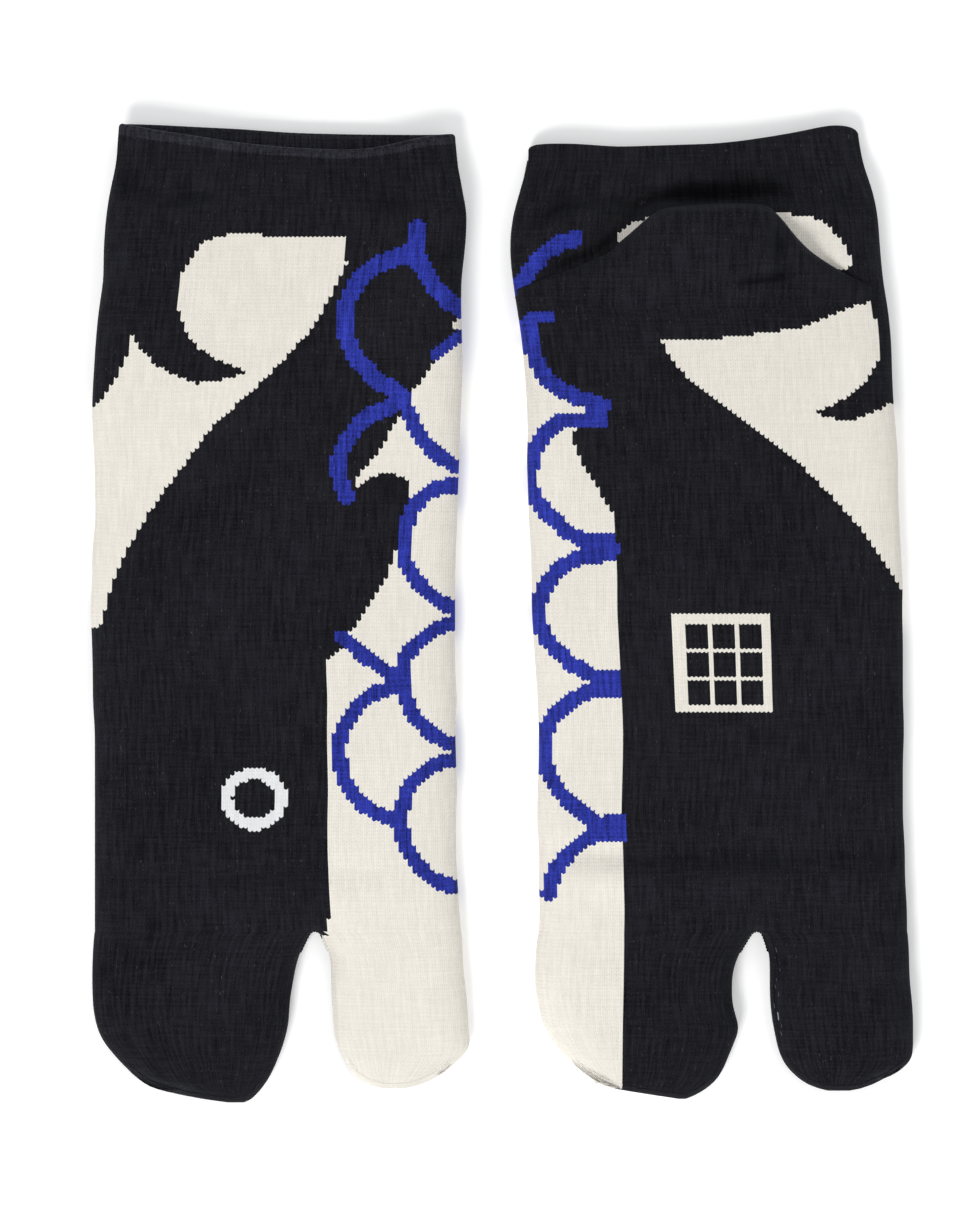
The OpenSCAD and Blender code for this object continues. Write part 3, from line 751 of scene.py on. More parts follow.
            # the lip's rings are painted lighter than the yarn: the middle rings as a painted highlight line along the
            # rim, the rings beside them as painted light lifting the shade
            m.quads(strip_quads(last, now), np.full(L, BLACK if side == "left" or k > 7 else PAINTED_RIM_HIGHLIGHT if 2 <= k <= 5 else PAINTED_LIGHT_GREY), km, bk)
            last = now
        rows = list(range(R - 2, -1, -1))
        for j in rows:
            now = m.verts(Pi[j])
            # the inside faces are painted a lighter black to lift the shade that falls inside the cuff: painted light
            m.quads(strip_quads(last, now), np.full(L, PAINTED_LIGHT_GREY), K[j][:, [3, 2, 1, 0]], small_map(strip, j))
            strip += 1
            last = now
        m.quads(strip_quads(last, idx[0]), np.zeros(L, int), K[0], small_map(strip, 0))
        m.sharp.append((idx[0], np.roll(idx[0], -1)))
        m.sharp.append((last, np.roll(last, -1)))
    else:
        stop = int(np.argmax(ys - ys[0] > 4.2)) if closed_tip else 0      # the pocket's cavity ends short of its linked tip
        rows = list(range(R - 1, stop, -skip)) + [stop]
        first_in = None
        for j in rows:
            q = P[j] - wall * N[j]
            zmid = np.concatenate([ze[j], ze[j][-2:0:-1]])
            up = np.arange(L) < C
            q[:, 2] = np.where(up, np.maximum(q[:, 2], zmid + 0.02), np.minimum(q[:, 2], zmid - 0.02))
            if left_edge:
                q[0, 2] = zmid[0]
            if right_edge:
                q[C - 1, 2] = zmid[C - 1]
            if closed_tip and j == stop:
                q[:, 2] = zmid
            now = m.verts(q)
            if closed_tip and j == stop:
                now = now[back]
            m.quads(strip_quads(last, now), Cring[min(j, R - 2)], K[min(j, R - 2)], small_map(strip, j))
            if first_in is None:
                m.sharp.append((last, np.roll(last, -1)))
                m.sharp.append((now, np.roll(now, -1)))
                first_in = now
            strip += 1
            last = now
        if not closed_tip:
            m.quads(strip_quads(last, idx[0]), Cring[0], K[0], small_map(strip, 0))
            m.sharp.append((last, np.roll(last, -1)))
            m.sharp.append((idx[0], np.roll(idx[0], -1)))
    ob = m.make(material)
    return ob


def pillow(name, T, Bm, Ct, Cb, W, material):
    """Two grids of points that share their border, as one closed shell."""
    R, C = T.shape[:2]
    m = Build(name)
    it = m.verts(T.reshape(-1, 3)).reshape(R, C)
    ib = it.copy()
    inner = m.verts(Bm[1:-1, 1:-1].reshape(-1, 3)).reshape(R - 2, C - 2)
    ib[1:-1, 1:-1] = inner
    At, Ab = arc_cols(T), arc_cols(Bm)
    half = max(At.max(), Ab.max()) + 0.5
    ln = lambda G: np.concatenate([np.zeros((1, C)), np.cumsum(np.linalg.norm(np.diff(G, axis=0), axis=2), 0)], 0)
    Lt, Lb = ln(T), ln(Bm)
    S = max(2 * half, Lt.max() + Lb.max() + 3)
    bt = np.stack([(At + half) / S, (Lt + 0.5) / S], 2)
    bb = np.stack([(Ab + half) / S, (Lb + Lt.max() + 2) / S], 2)
    kt = np.stack([np.repeat(W[None], R, 0), T[..., 1] / COURSE], 2)
    kb = np.stack([np.repeat(W[None], R, 0), Bm[..., 1] / COURSE], 2)
    c4 = lambda G: np.stack([G[:-1, :-1], G[:-1, 1:], G[1:, 1:], G[1:, :-1]], 2).reshape(-1, 4, 2)
    q = lambda I: np.stack([I[:-1, :-1], I[:-1, 1:], I[1:, 1:], I[1:, :-1]], 2).reshape(-1, 4)
    m.quads(q(it), Ct.ravel(), c4(kt), c4(bt))
    m.quads(q(ib)[:, ::-1], Cb.ravel(), c4(kb)[:, ::-1], c4(bb)[:, ::-1])
    return m.make(material)


# ---------------------------------------------------------------- materials


def node(nt, kind, **props):
    n = nt.nodes.new(kind)
    for k, v in props.items():
        if k in n.inputs:
            n.inputs[k].default_value = v
        else:
            setattr(n, k, v)
    return n


def mathn(nt, op, a, b=None, c=None, clamp=False):
    n = nt.nodes.new("ShaderNodeMath")
    n.operation = op
    n.use_clamp = clamp
    for i, v in enumerate((a, b, c)):
        if v is None:
            continue
        if hasattr(v, "links"):
            nt.links.new(v, n.inputs[i])
        else:
            n.inputs[i].default_value = v
    return n.outputs[0]


def knit_material(name, rib=False, melange=2.15, sheen=0.05):
    """Yarn colour from the mesh, with loops whose grooves are darkened in colour as painted shade, uneven yarn, lint
    and a soft sheen.
    """
    mat = bpy.data.materials.new(name)
    mat.use_nodes = True
    nt = mat.node_tree
    nt.nodes.clear()
    out = nt.nodes.new("ShaderNodeOutputMaterial")
    bsdf = nt.nodes.new("ShaderNodeBsdfPrincipled")
    nt.links.new(bsdf.outputs[0], out.inputs[0])
    col = node(nt, "ShaderNodeVertexColor", layer_name="Col")
    uv = node(nt, "ShaderNodeUVMap", uv_map="knit")
    sep = nt.nodes.new("ShaderNodeSeparateXYZ")
    nt.links.new(uv.outputs[0], sep.inputs[0])
    su, sv = sep.outputs[0], sep.outputs[1]
    M = lambda *a, **k: mathn(nt, *a, **k)
    # one loop is a V: its strands climb away from the middle of the column
    a = M("SUBTRACT", M("FRACT", su), 0.5)
    aa = M("ABSOLUTE", a)
    ph = M("FRACT", M("SUBTRACT", sv, M("MULTIPLY", aa, 0.84)))
    strand = M("SINE", M("MULTIPLY", ph, math.pi))
    legs = M("SINE", M("MULTIPLY", aa, 2 * math.pi))
    loop = M("ADD", M("MULTIPLY", strand, 0.45), M("MULTIPLY", legs, 0.55))
    if rib:
        # every second column sinks, and because the loop height also sets the colour, the sunk columns are darker:
        # painted shade in the rib's grooves
        r = M("COSINE", M("MULTIPLY", su, math.pi))
        loop = M("ADD", M("MULTIPLY", loop, 0.85), M("MULTIPLY", r, -0.15))
    # yarn that varies along a column, and from column to column
    comb = nt.nodes.new("ShaderNodeCombineXYZ")
    nt.links.new(M("MULTIPLY", su, 1.0), comb.inputs[0])
    nt.links.new(M("MULTIPLY", sv, 0.07), comb.inputs[1])
    streak = node(nt, "ShaderNodeTexNoise", **{"Scale": 1.35, "Detail": 2.0, "Roughness": 0.6})
    nt.links.new(comb.outputs[0], streak.inputs["Vector"])
    comb2 = nt.nodes.new("ShaderNodeCombineXYZ")
    nt.links.new(M("MULTIPLY", su, 0.09), comb2.inputs[0])
    nt.links.new(sv, comb2.inputs[1])
    course = node(nt, "ShaderNodeTexNoise", **{"Scale": 1.2, "Detail": 2.0, "Roughness": 0.6})
    nt.links.new(comb2.outputs[0], course.inputs["Vector"])
    fleck = node(nt, "ShaderNodeTexNoise", **{"Scale": 2.1, "Detail": 2.0, "Roughness": 0.7})
    nt.links.new(uv.outputs[0], fleck.inputs["Vector"])
    geo = nt.nodes.new("ShaderNodeNewGeometry")
    fuzz = node(nt, "ShaderNodeTexNoise", **{"Scale": 2600.0, "Detail": 3.0, "Roughness": 0.65})
    tc = nt.nodes.new("ShaderNodeTexCoord")
    nt.links.new(tc.outputs["Object"], fuzz.inputs["Vector"])
    cloud = node(nt, "ShaderNodeTexNoise", **{"Scale": 38.0, "Detail": 2.0, "Roughness": 0.5})
    nt.links.new(tc.outputs["Object"], cloud.inputs["Vector"])
    # gain = 1 + weights * (noise - 0.5)
    g = M("ADD", 1.0, M("MULTIPLY", M("SUBTRACT", streak.outputs[0], 0.5), 1.15 * melange))
    g = M("ADD", g, M("MULTIPLY", M("SUBTRACT", course.outputs[0], 0.5), 0.6 * melange))
    g = M("ADD", g, M("MULTIPLY", M("SUBTRACT", fleck.outputs[0], 0.5), 0.9 * melange))
    g = M("ADD", g, M("MULTIPLY", M("SUBTRACT", fuzz.outputs[0], 0.5), 0.75))
    g = M("ADD", g, M("MULTIPLY", M("SUBTRACT", cloud.outputs[0], 0.5), 0.8))
    # the loop height also darkens the colour towards the edges of each loop: painted shade between the strands
    g = M("ADD", g, M("MULTIPLY", M("SUBTRACT", loop, 0.55), 0.3))
    # pale yarn shows the unevenness far less than black does
    lum = nt.nodes.new("ShaderNodeRGBToBW")
    nt.links.new(col.outputs[0], lum.inputs[0])
    soft = M("SUBTRACT", 1.0, M("MULTIPLY", lum.outputs[0], 1.11))
    g = M("MAXIMUM", M("ADD", 1.0, M("MULTIPLY", M("SUBTRACT", g, 1.0), soft)), 0.25)
    mul = nt.nodes.new("ShaderNodeVectorMath")
    mul.operation = "SCALE"
    nt.links.new(col.outputs[0], mul.inputs[0])
    nt.links.new(g, mul.inputs["Scale"])
    # tiny pale hairs of lint, only seen on the dark yarn
    hair = nt.nodes.new("ShaderNodeMapping")
    hair.inputs["Scale"].default_value = (1.0, 0.3, 1.0)
    nt.links.new(tc.outputs["Object"], hair.inputs[0])
    lint = node(nt, "ShaderNodeTexNoise", **{"Scale": 2600.0, "Detail": 1.0, "Roughness": 0.5})
    nt.links.new(hair.outputs[0], lint.inputs["Vector"])
    l1 = M("MULTIPLY", M("SUBTRACT", lint.outputs[0], 0.70, clamp=True), 0.35)
    add = nt.nodes.new("ShaderNodeVectorMath")
    add.operation = "ADD"
    cl = nt.nodes.new("ShaderNodeCombineXYZ")
    for k in range(3):
        nt.links.new(l1, cl.inputs[k])
    nt.links.new(mul.outputs[0], add.inputs[0])
    nt.links.new(cl.outputs[0], add.inputs[1])
    nt.links.new(add.outputs[0], bsdf.inputs["Base Color"])
    rough = M("ADD", 0.86, M("MULTIPLY", fuzz.outputs[0], 0.14), clamp=True)
    nt.links.new(rough, bsdf.inputs["Roughness"])
    bsdf.inputs["Specular IOR Level"].default_value = 0.08
    bsdf.inputs["Sheen Weight"].default_value = sheen
    bsdf.inputs["Sheen Roughness"].default_value = 0.55
    bsdf.inputs["Sheen Tint"].default_value = (0.75, 0.78, 0.9, 1)
    bump = nt.nodes.new("ShaderNodeBump")
    bump.inputs["Strength"].default_value = 0.55
    bump.inputs["Distance"].default_value = 0.00022
    hgt = M("ADD", loop, M("MULTIPLY", fuzz.outputs[0], 0.5))
    nt.links.new(hgt, bump.inputs["Height"])
    nt.links.new(bump.outputs[0], bsdf.inputs["Normal"])
    return mat


def thread_material(name, color, rough=0.8):
    mat = bpy.data.materials.new(name)
    mat.use_nodes = True
    nt = mat.node_tree
    bsdf = nt.nodes["Principled BSDF"]
    tc = nt.nodes.new("ShaderNodeTexCoord")
    nz = node(nt, "ShaderNodeTexNoise", **{"Scale": 2200.0, "Detail": 3.0})
    nt.links.new(tc.outputs["Object"], nz.inputs["Vector"])
    rgb = nt.nodes.new("ShaderNodeVectorMath")
    rgb.operation = "SCALE"
    rgb.inputs[0].default_value = tuple(color)
    nt.links.new(mathn(nt, "ADD", 0.72, mathn(nt, "MULTIPLY", nz.outputs[0], 0.56)), rgb.inputs["Scale"])
    nt.links.new(rgb.outputs[0], bsdf.inputs["Base Color"])
    bsdf.inputs["Roughness"].default_value = rough
    bsdf.inputs["Specular IOR Level"].default_value = 0.25
    bsdf.inputs["Sheen Weight"].default_value = 0.2
    bump = nt.nodes.new("ShaderNodeBump")
    bump.inputs["Strength"].default_value = 0.5
    bump.inputs["Distance"].default_value = 0.0001
    wv = node(nt, "ShaderNodeTexWave", **{"Scale": 900.0, "Distortion": 1.0})
    nt.links.new(tc.outputs["Object"], wv.inputs["Vector"])
    nt.links.new(wv.outputs[1], bump.inputs["Height"])
    nt.links.new(bump.outputs[0], bsdf.inputs["Normal"])
    return mat


MAT_KNIT = knit_material("knit_yarn")
MAT_RIB = knit_material("rib_yarn", rib=True)
MAT_ELASTIC = thread_material("elastic_yarn", srgb(52, 52, 58), 0.7)

# ---------------------------------------------------------------- the socks' pieces


def declare(nodes):
    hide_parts(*nodes)


PIECES = {}
for side in ("right", "left"):
    s = SOCKS[side]
    mid = [s.xl, s.xm, s.xr]
    # cuff: double ribbed welt
    yc = np.linspace(CUFF_Y, 120.0, 27)
    cuff = {"top": A_RIM_TOP, "back": A_RIM_BACK, "t": 1.9} if side == "right" else {
        "top": B_RIM_TOP, "back": [(x, y - 0.5) for x, y in B_RIM_TOP], "t": 1.9}
    ob = tube(f"{side}_cuff_rib", side, mid, [s.n4, s.nb], [True, False, True], yc, 0, MAT_RIB, cuff=cuff)
    PIECES[side, "cuff"] = ob
    ob = tube(f"{side}_leg_knit", side, mid, [s.n4, s.nb], [True, False, True], rows_between(ANKLE_Y, CUFF_Y), 0, MAT_KNIT)
    PIECES[side, "leg"] = ob
    ob = tube(f"{side}_foot_knit", side, mid, [s.n4, s.nb], [True, True, True], rows_between(CROTCH_Y, ANKLE_Y), 0, MAT_KNIT)
    PIECES[side, "foot"] = ob
    for lobe, n, w0 in (("four", s.n4, 0), ("big", s.nb, s.n4 // 2)):
        lines, counts, edges = list(s.lobe[lobe]), [n], [True, True]
        if (side, lobe) == ("left", "four"):
            a, b = s.lobe[lobe]
            split = lambda q, a=a, b=b: np.clip(cream_line(q), a(q) + 0.02 * (b(q) - a(q)), b(q) - 0.1)
            lines, counts, edges = [a, split, b], [38, n - 38], [True, False, True]
        ob = tube(f"{side}_{'four_toes' if lobe == 'four' else 'big_toe'}_knit", side, lines, counts, edges,
                  rows_between(s.tip[lobe], CROTCH_Y, True), w0, MAT_KNIT, closed_tip=True)
        PIECES[side, lobe] = ob


def pouch_outline(side):
    p = np.array(POUCH_TOP)
    if side == "right":
        # the same pocket under the other sock, turned over
        a, b = SOCKS["left"], SOCKS["right"]
        t = (p[:, 0] - a.xl(p[:, 1])) / (a.xr(p[:, 1]) - a.xl(p[:, 1]))
        x = b.xl(p[:, 1]) + (1 - t) * (b.xr(p[:, 1]) - b.xl(p[:, 1]))
        p = np.stack([x, p[:, 1]], 1)[::-1]
    return p


def make_pouch(side):
    s = SOCKS[side]
    line = round_off(pouch_outline(side), 5)
    x0, x1 = line[0, 0] + 0.8, line[-1, 0] - 0.8
    # its columns of loops carry on from the leg's
    every = np.arange(0, s.n4 + s.nb + 1) / 2
    at = np.array([float(s.wale_x(q, 78.0)) for q in every])
    pick = (at >= x0) & (at <= x1)
    W, xs = every[pick], at[pick]
    x0, x1 = xs[0], xs[-1]
    ytop = gauss_smooth(np.interp(xs, line[:, 0], line[:, 1]), 2.0)
    xm = (x0 + x1) / 2
    ylow = 74.4 + 2.9 * np.abs((xs - xm) / (x1 - x0) * 2) ** 5
    R = 44
    v = np.linspace(0, 1, R) ** 0.9
    v = np.concatenate([v[:-1], [v[-2] + (1 - v[-2]) * k for k in (0.35, 0.62, 0.8, 0.91, 0.97)], [1.0]])
    v = np.concatenate([[0, 0.004, 0.012], v[1:]])
    v = np.unique(v)
    X = np.repeat(xs[None], len(v), 0)
    Y = ylow[None] + (ytop - ylow)[None] * v[:, None]
    # distance to the free edge
    seg = np.concatenate([line[:-1], line[1:]], 1)
    D = np.full(X.shape, 1e9)
    for ax, ay, bx, by in seg:
        dx, dy = bx - ax, by - ay
        t = np.clip(((X - ax) * dx + (Y - ay) * dy) / (dx * dx + dy * dy), 0, 1)
        D = np.minimum(D, np.hypot(X - ax - t * dx, Y - ay - t * dy))
    D[-1] = 0
    Dp = s.dist(X, Y)
    up, dn, ze = s.faces(X, Y, Dp)
    endf = smooth(0, 5, xs - x0) * smooth(0, 5, x1 - xs)
    if side == "left":
        H = 2.6 + 3.5 * np.exp(-np.abs((xs - 49) / 27) ** 3.2)
        rise = smooth(0, 1, (Y - ylow[None]) / 9.5)
        f = superell(D, 3.4, 2.0)
        h = H[None] * rise * f
        h = h + 0.75 * bump2(X, Y, 51, 92.5, 12.5, 5.2) * f
        h = h - 4.2 * bump2(X, Y, 68.0, 88.2, 1.5, 5.2, 0.1) * f + 1.4 * bump2(X, Y, 64.6, 90.5, 2.0, 5.0, 0.1) * f + 0.8 * bump2(X, Y, 71.6, 86.6, 1.8, 3.6, 0.5) * f
        h = h - 3.2 * bump2(X, Y, 63.5, 82.2, 6.5, 1.2, 0.14) * f + 0.9 * bump2(X, Y, 60, 85.4, 8.5, 1.7, 0.1) * f - 0.8 * bump2(X, Y, 34, 86.0, 8, 1.8, 0.1) * f
        h = h + 0.45 * bump2(X, Y, 22, 82.0, 9, 1.6, 0.42) * f + 0.4 * bump2(X, Y, 79, 82.6, 7, 1.8, -0.5) * f
        h = h * endf[None]
        zlow = up + 0.02
        lowgap = np.minimum(0.25, 0.25 * smooth(0, 1, (Y - ylow[None]) / 4)) * f
        T = np.stack([X, Y, zlow + np.maximum(h, 0.0) + 0.01 + 0.04 * smooth(0, 2.0, Y - ylow[None])], 2)
        Bm = np.stack([X, Y, zlow + lowgap * 0.2 * endf[None]], 2)
    else:
        H = 1.5 + 0.75 * np.exp(-np.abs((xs + 55) / 27) ** 3.2)
        rise = smooth(0, 1, (Y - ylow[None]) / 7.0)
        f = superell(D, 2.2, 2.0)
        h = H[None] * rise * f * endf[None]
        zhigh = dn - 0.05
        T = np.stack([X, Y, zhigh], 2)
        Bm = np.stack([X, Y, np.maximum(zhigh - np.maximum(h, 0) - 0.02, 0.06)], 2)
    # the border is one line
    for A_, B_ in ((0, slice(None)), (-1, slice(None)), (slice(None), 0), (slice(None), -1)):
        mean = (T[A_, B_] + Bm[A_, B_]) / 2
        if side == "left" and not (isinstance(A_, int) and A_ == -1):
            mean = Bm[A_, B_]
        T[A_, B_] = mean
        Bm[A_, B_] = mean
    ridge = 0.05 * (0.5 - 0.5 * np.cos(2 * math.pi * W))[None] * smooth(0.05, 1.2, D) * smooth(0, 0.2, v)[:, None]
    T[..., 2] += ridge * (1 if side == "left" else 0)
    if side == "right":
        Bm[..., 2] = np.maximum(Bm[..., 2] - ridge * 0.6, 0.06)
    # colour by stitch
    wi = np.floor((W[:-1] + W[1:]) / 2)
    xcen = np.array([float(s.wale_x(q + 0.5, 78.0)) for q in wi])
    yc = (Y[:-1, :-1] + Y[1:, 1:]) / 2
    yq = (np.floor(yc / COURSE) + 0.5) * COURSE
    XC = np.repeat(xcen[None], len(v) - 1, 0)
    face = design(side, "up" if side == "left" else "down", XC, yq, "pouch")
    blank = np.zeros(face.shape, int)
    Ct, Cb = (face, blank) if side == "left" else (blank, face)
    return pillow(f"{side}_heel_pouch_knit", T, Bm, Ct, Cb, W, MAT_KNIT), float((ytop - ylow).mean()), x1 - x0


for side in ("right", "left"):
    PIECES[side, "heel"], ph, pw = make_pouch(side)
    PIECES[side, "heel_size"] = (pw, ph)


def band(name, side, material):
    """The elastic yarn laid in between the cuff's two layers."""
    s = SOCKS[side]
    cols = columns([s.n4, s.nb], [True, False, True])
    ys = np.linspace(104.0, 111.5, 12)
    X = grid_xy([s.xl, s.xm, s.xr], ys, cols)
    Y = np.repeat(ys[:, None], X.shape[1], 1)
    D = s.dist(X, Y)
    D[:, 0] = D[:, -1] = 0
    up, dn, ze = s.faces(X, Y, D)

    def lay(depth):
        f = (X - X[:, :1]) / (X[:, -1:] - X[:, :1])
        x = X + depth * (1 - 2 * f)
        t = np.stack([x, Y, ze + np.maximum(up - ze - depth, 0.05 * smooth(0, 1, D))], 2)
        b = np.stack([x, Y, ze - np.maximum(ze - dn - depth, 0.05 * smooth(0, 1, D))], 2)
        return np.concatenate([t, b[:, -2:0:-1]], 1)

    outer, inner = lay(0.7), lay(1.2)
    m = Build(name)
    rings = [outer[j] for j in range(len(ys))] + [inner[j] for j in range(len(ys) - 1, -1, -1)]
    idx = [m.verts(r) for r in rings]
    L = len(idx[0])
    k = np.arange(L)
    for j in range(len(rings)):
        a, b = idx[j], idx[(j + 1) % len(rings)]
        u0, u1 = k / L * 0.98 + 0.01, (k + 1) / L * 0.98 + 0.01
        v0, v1 = j / len(rings) * 0.1 + 0.01, (j + 1) / len(rings) * 0.1 + 0.01
        uv = np.stack([np.stack([u0, u0 * 0 + v0], 1), np.stack([u1, u1 * 0 + v0], 1), np.stack([u1, u1 * 0 + v1], 1), np.stack([u0, u0 * 0 + v1], 1)], 1)
        m.quads(strip_quads(a, b), np.zeros(L, int), uv * 160, uv)
    return m.make(material)


def wrap_tube(m, path, radius, sides=8, coil=0.0, turns=0.0, squash=0.6, yarn=None):
    """A closed tube round a path of points, its radius swelling with each stitch."""
    P = np.array(path, float)
    n = len(P)
    T = np.gradient(P, axis=0)
    T /= np.linalg.norm(T, axis=1, keepdims=True)
    up = np.array([0, 0, 1.0])
    S = np.cross(T, up)
    S /= np.maximum(np.linalg.norm(S, axis=1, keepdims=True), 1e-9)
    U = np.cross(S, T)
    dist = np.concatenate([[0], np.cumsum(np.linalg.norm(np.diff(P, axis=0), axis=1))])
    ang = np.linspace(0, 2 * math.pi, sides, endpoint=False)
    fade = np.minimum(1, np.minimum(np.arange(n), np.arange(n)[::-1]) / 2.0 + 0.25)
    rings = []
    for i in range(n):
        r = radius * fade[i] * (1 + coil * math.sin(2 * math.pi * dist[i] / turns)) if turns else radius * fade[i]
        a = ang + (dist[i] / turns * 0.6 if turns else 0)
        rings.append(m.verts(P[i] + r * (np.cos(a)[:, None] * S[i] + squash * np.sin(a)[:, None] * U[i])))
    k = np.arange(sides)
    for i in range(n - 1):
        u0, u1 = k / sides * 0.1, (k + 1) / sides * 0.1
        v0, v1 = i / n, (i + 1) / n
        uv = np.stack([np.stack([u0, u0 * 0 + v0], 1), np.stack([u1, u1 * 0 + v0], 1), np.stack([u1, u1 * 0 + v1], 1), np.stack([u0, u0 * 0 + v1], 1)], 1)
        m.quads(strip_quads(rings[i], rings[i + 1])[:, ::-1], np.full(sides, 0 if yarn is None else int(yarn[i])), uv[:, ::-1] * 40, uv[:, ::-1])
    for ring, c, flip in ((rings[0], P[0], False), (rings[-1], P[-1], True)):
        ci = m.verts(c[None])[0]
        nxt = np.roll(ring, -1)
        f = np.stack([ring, nxt, np.full(sides, ci), np.full(sides, ci)], 1)
        if flip:
            f = f[:, [1, 0, 2, 3]]
        uv = np.tile(np.array([[0.2, 0.2], [0.21, 0.2], [0.205, 0.21], [0.205, 0.21]]), (sides, 1, 1))
        m.quads(f, np.full(sides, 0 if yarn is None else int(yarn[0 if not flip else -1])), uv, uv)


def on_top(side, x, y):
    s = SOCKS[side]
    X, Y = np.array(x, float)[:, None], np.array(y, float)[:, None]
    d = s.dist(X, Y)
    up, dn, ze = s.faces(X, Y, d)
    return up[:, 0], dn[:, 0], ze[:, 0]


def toe_seam(side, lobe):
    """The linking seam: a fine ridge of stitches across the tip, just inside the edge."""
    s = SOCKS[side]
    a, b = s.lobe[lobe]
    tip = s.tip[lobe]
    reach = 9.0 if lobe == "four" else 7.0
    sq = np.linspace(math.sqrt(reach), 0, 70)
    yy = tip + sq * sq
    pts = np.concatenate([np.stack([a(yy), yy], 1), np.stack([b(yy[::-1]), yy[::-1]], 1)])
    d = np.concatenate([[0], np.cumsum(np.linalg.norm(np.diff(pts, axis=0), axis=1))])
    q = np.arange(0, d[-1], 0.22)
    line = np.stack([np.interp(q, d, pts[:, 0]), np.interp(q, d, pts[:, 1])], 1)
    line = np.stack([gauss_smooth(line[:, 0], 6), gauss_smooth(line[:, 1], 6)], 1)
    t = np.gradient(line, axis=0)
    t /= np.linalg.norm(t, axis=1, keepdims=True)
    nrm = np.stack([-t[:, 1], t[:, 0]], 1)
    line = line + nrm * 1.5
    up, dn, ze = on_top(side, line[:, 0], line[:, 1])
    z = up if side == "right" else up
    m = Build(f"{side}_{'four_toes' if lobe == 'four' else 'big_toe'}_seam_stitch")
    yarn = design(side, "up", line[:, 0] - nrm[:, 0] * 0.0, line[:, 1])
    wrap_tube(m, np.stack([line[:, 0], line[:, 1], z - 0.05], 1), 0.24, 8, 0.35, 0.86, 0.7, yarn)
    if (side, lobe) == ("left", "big"):
        # pale catch stitches beside the slot
        rng = np.random.default_rng(5)
        y0 = -82.0
        while y0 > -104.5:
            ln = float(rng.uniform(0.5, 1.5)) if y0 > -97 or y0 < -99.5 else 2.2
            ys = np.linspace(y0, y0 - ln, max(4, int(ln / 0.16)))
            off = float(rng.uniform(0.7, 2.2))
            xs = a(ys) + off + np.linspace(0, float(rng.uniform(-0.2, 0.25)), len(ys))
            up, _, _ = on_top(side, xs, ys)
            arch = 0.10 * np.sin(np.linspace(0, math.pi, len(ys)))
            wrap_tube(m, np.stack([xs, ys, up + arch - 0.02], 1), 0.15 if ln > 2 else 0.10, 6, 0, 0, 0.8, np.full(len(ys), 4 if ln > 2 else 7))
            y0 -= ln + float(rng.uniform(0.7, 1.7))
    ob = m.make(MAT_KNIT)
    return ob


def slot_gusset(side):
    """Overlocked thread round the end of the toe slot, at the edge's height."""
    s = SOCKS[side]
    fa, fb = s.lobe["four"][1], s.lobe["big"][0]
    top = math.sqrt(CROTCH_Y - (CROTCH_Y - 5.5))
    sq = np.linspace(top, 0, 40)
    yy = CROTCH_Y - sq * sq
    pts = np.concatenate([np.stack([fa(yy), yy], 1), np.stack([fb(yy[::-1]), yy[::-1]], 1)])
    d = np.concatenate([[0], np.cumsum(np.linalg.norm(np.diff(pts, axis=0), axis=1))])
    q = np.arange(0, d[-1], 0.2)
    line = np.stack([np.interp(q, d, pts[:, 0]), np.interp(q, d, pts[:, 1])], 1)
    line = np.stack([gauss_smooth(line[:, 0], 2), gauss_smooth(line[:, 1], 2)], 1)
    _, _, ze = on_top(side, line[:, 0], line[:, 1])
    m = Build(f"{side}_toe_gusset_stitch")
    yarn = design(side, "up", line[:, 0], np.minimum(line[:, 1], CROTCH_Y - 0.5))
    wrap_tube(m, np.stack([line[:, 0], line[:, 1] + 0.1, ze], 1), 0.34, 8, 0.3, 0.8, 1.4, yarn)
    return m.make(MAT_KNIT)


for side in ("right", "left"):
    PIECES[side, "elastic"] = band(f"{side}_cuff_elastic_band", side, MAT_ELASTIC)
    PIECES[side, "four_seam"] = toe_seam(side, "four")
    PIECES[side, "big_seam"] = toe_seam(side, "big")
    PIECES[side, "gusset"] = slot_gusset(side)

# ---------------------------------------------------------------- what each piece rides on


def joint_at(name):
    for j in frame["joints"]:
        if j["name"] == name:
            return j
    return None


for side in ("right", "left"):
    s = SOCKS[side]
    leg, cuff, foot = f"{side}_leg", f"{side}_cuff", f"{side}_foot"
    p = PIECES[side, "cuff"]
    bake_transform(p)
    declare([f"{side}_cuff"])
    p = PIECES[side, "elastic"]
    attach(p, cuff)
    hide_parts(f"{side}_cuff_elastic")
    p = PIECES[side, "leg"]
    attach(p, leg)
    declare([f"{side}_leg"])
    p = PIECES[side, "foot"]
    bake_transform(p)
    declare([f"{side}_foot"])
    p = PIECES[side, "gusset"]
    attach(p, foot)
    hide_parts(f"{side}_toe_gusset")
    for lobe, body in (("four", f"{side}_four_toes"), ("big", f"{side}_big_toe")):
        p = PIECES[side, lobe]
        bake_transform(p)
        declare([body])
        q = PIECES[side, lobe + "_seam"]
        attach(q, body)
        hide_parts(body + "_seam")
    p = PIECES[side, "heel"]
    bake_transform(p)
    pw, ph = PIECES[side, "heel_size"]
    declare([f"{side}_heel_pouch"])

# ---------------------------------------------------------------- floor, light and camera


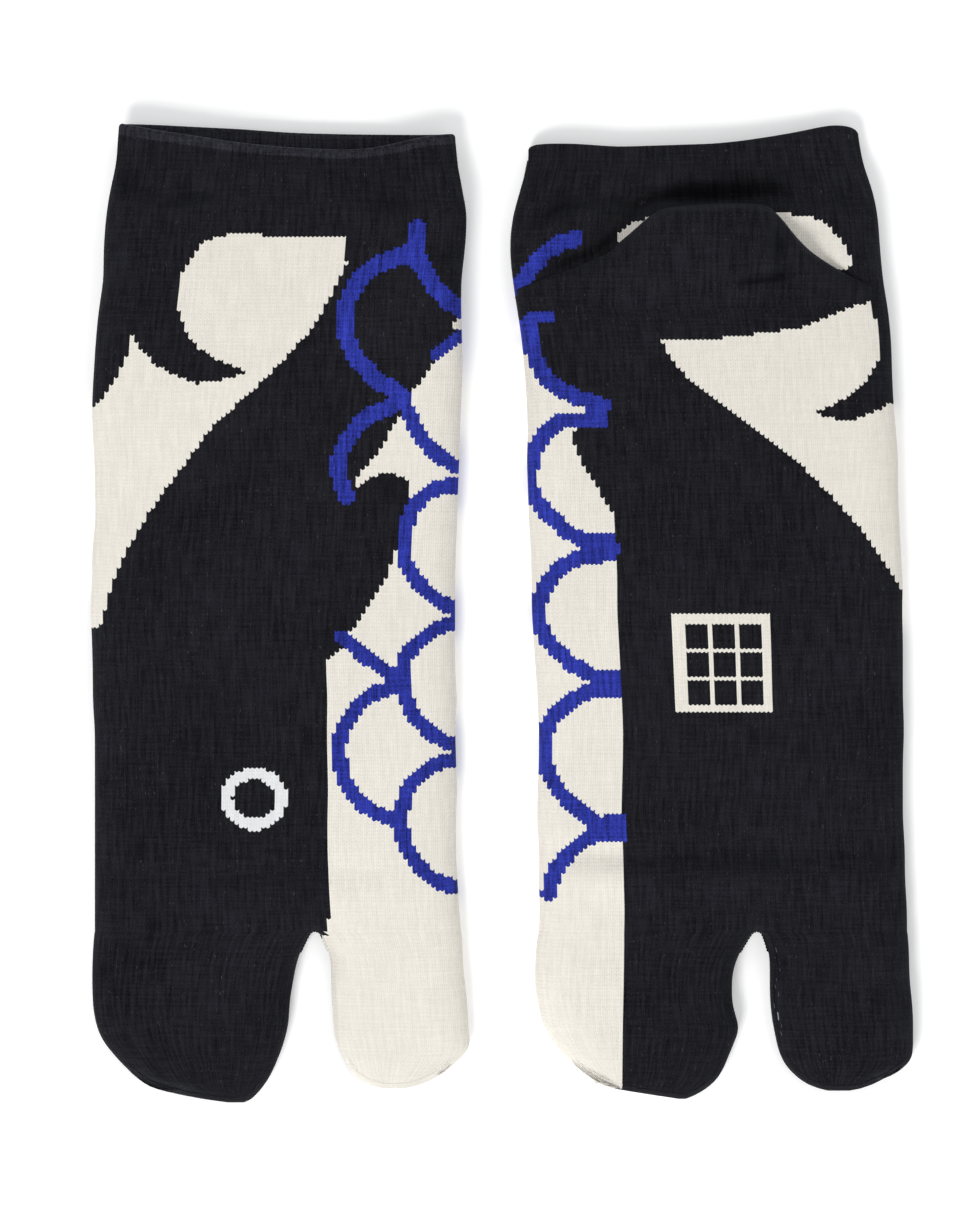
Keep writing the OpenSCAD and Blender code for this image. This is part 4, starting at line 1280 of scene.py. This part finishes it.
def stage_floor():
    me = bpy.data.meshes.new("floor")
    r = 3.0
    me.from_pydata([(-r, -r, -0.0002), (r, -r, -0.0002), (r, r, -0.0002), (-r, r, -0.0002)], [], [(0, 1, 2, 3)])
    ob = bpy.data.objects.new("floor", me)
    bpy.context.scene.collection.objects.link(ob)
    mat = bpy.data.materials.new("floor_paper")
    mat.use_nodes = True
    b = mat.node_tree.nodes["Principled BSDF"]
    b.inputs["Base Color"].default_value = (0.94, 0.94, 0.94, 1)
    b.inputs["Emission Color"].default_value = (1.0, 1.0, 1.0, 1)
    b.inputs["Emission Strength"].default_value = 0.24
    b.inputs["Roughness"].default_value = 0.95
    b.inputs["Specular IOR Level"].default_value = 0.0
    me.materials.append(mat)


stage_floor()

world = bpy.data.worlds.new("studio")
bpy.context.scene.world = world
world.use_nodes = True
bg = world.node_tree.nodes["Background"]
bg.inputs[0].default_value = (0.98, 0.99, 1.0, 1)
bg.inputs[1].default_value = 0.36


def area(name, loc, target, size, energy, color=(1, 1, 1)):
    from mathutils import Vector
    li = bpy.data.lights.new(name, "AREA")
    li.shape = "RECTANGLE"
    li.size, li.size_y = size
    li.energy = energy
    li.color = color
    ob = bpy.data.objects.new(name, li)
    ob.location = loc
    ob.rotation_euler = (Vector(target) - Vector(loc)).to_track_quat("-Z", "Y").to_euler()
    bpy.context.scene.collection.objects.link(ob)
    return ob


area("softbox_key", (-0.45, -0.95, 0.95), (0, 0, 0), (0.55, 0.4), 13.0, (1.0, 0.995, 0.985))
area("softbox_fill", (0.9, -0.5, 1.2), (0, 0, 0), (1.0, 1.0), 2.8, (0.97, 0.98, 1.0))
area("softbox_top", (0.05, 1.1, 0.75), (0, 0.05, 0), (1.2, 0.5), 5.2, (0.98, 0.99, 1.0))

cam = bpy.data.cameras.new("camera")
cam.sensor_width = 36
cam.lens = 107.4
cam.clip_start = 0.05
co = bpy.data.objects.new("camera", cam)
co.location = (-0.00294, 0.0006, 0.9)
co.rotation_euler = (0, 0, 0)
bpy.context.scene.collection.objects.link(co)
bpy.context.scene.camera = co
bpy.context.scene.view_settings.view_transform = "Standard"
bpy.context.scene.view_settings.look = "None"
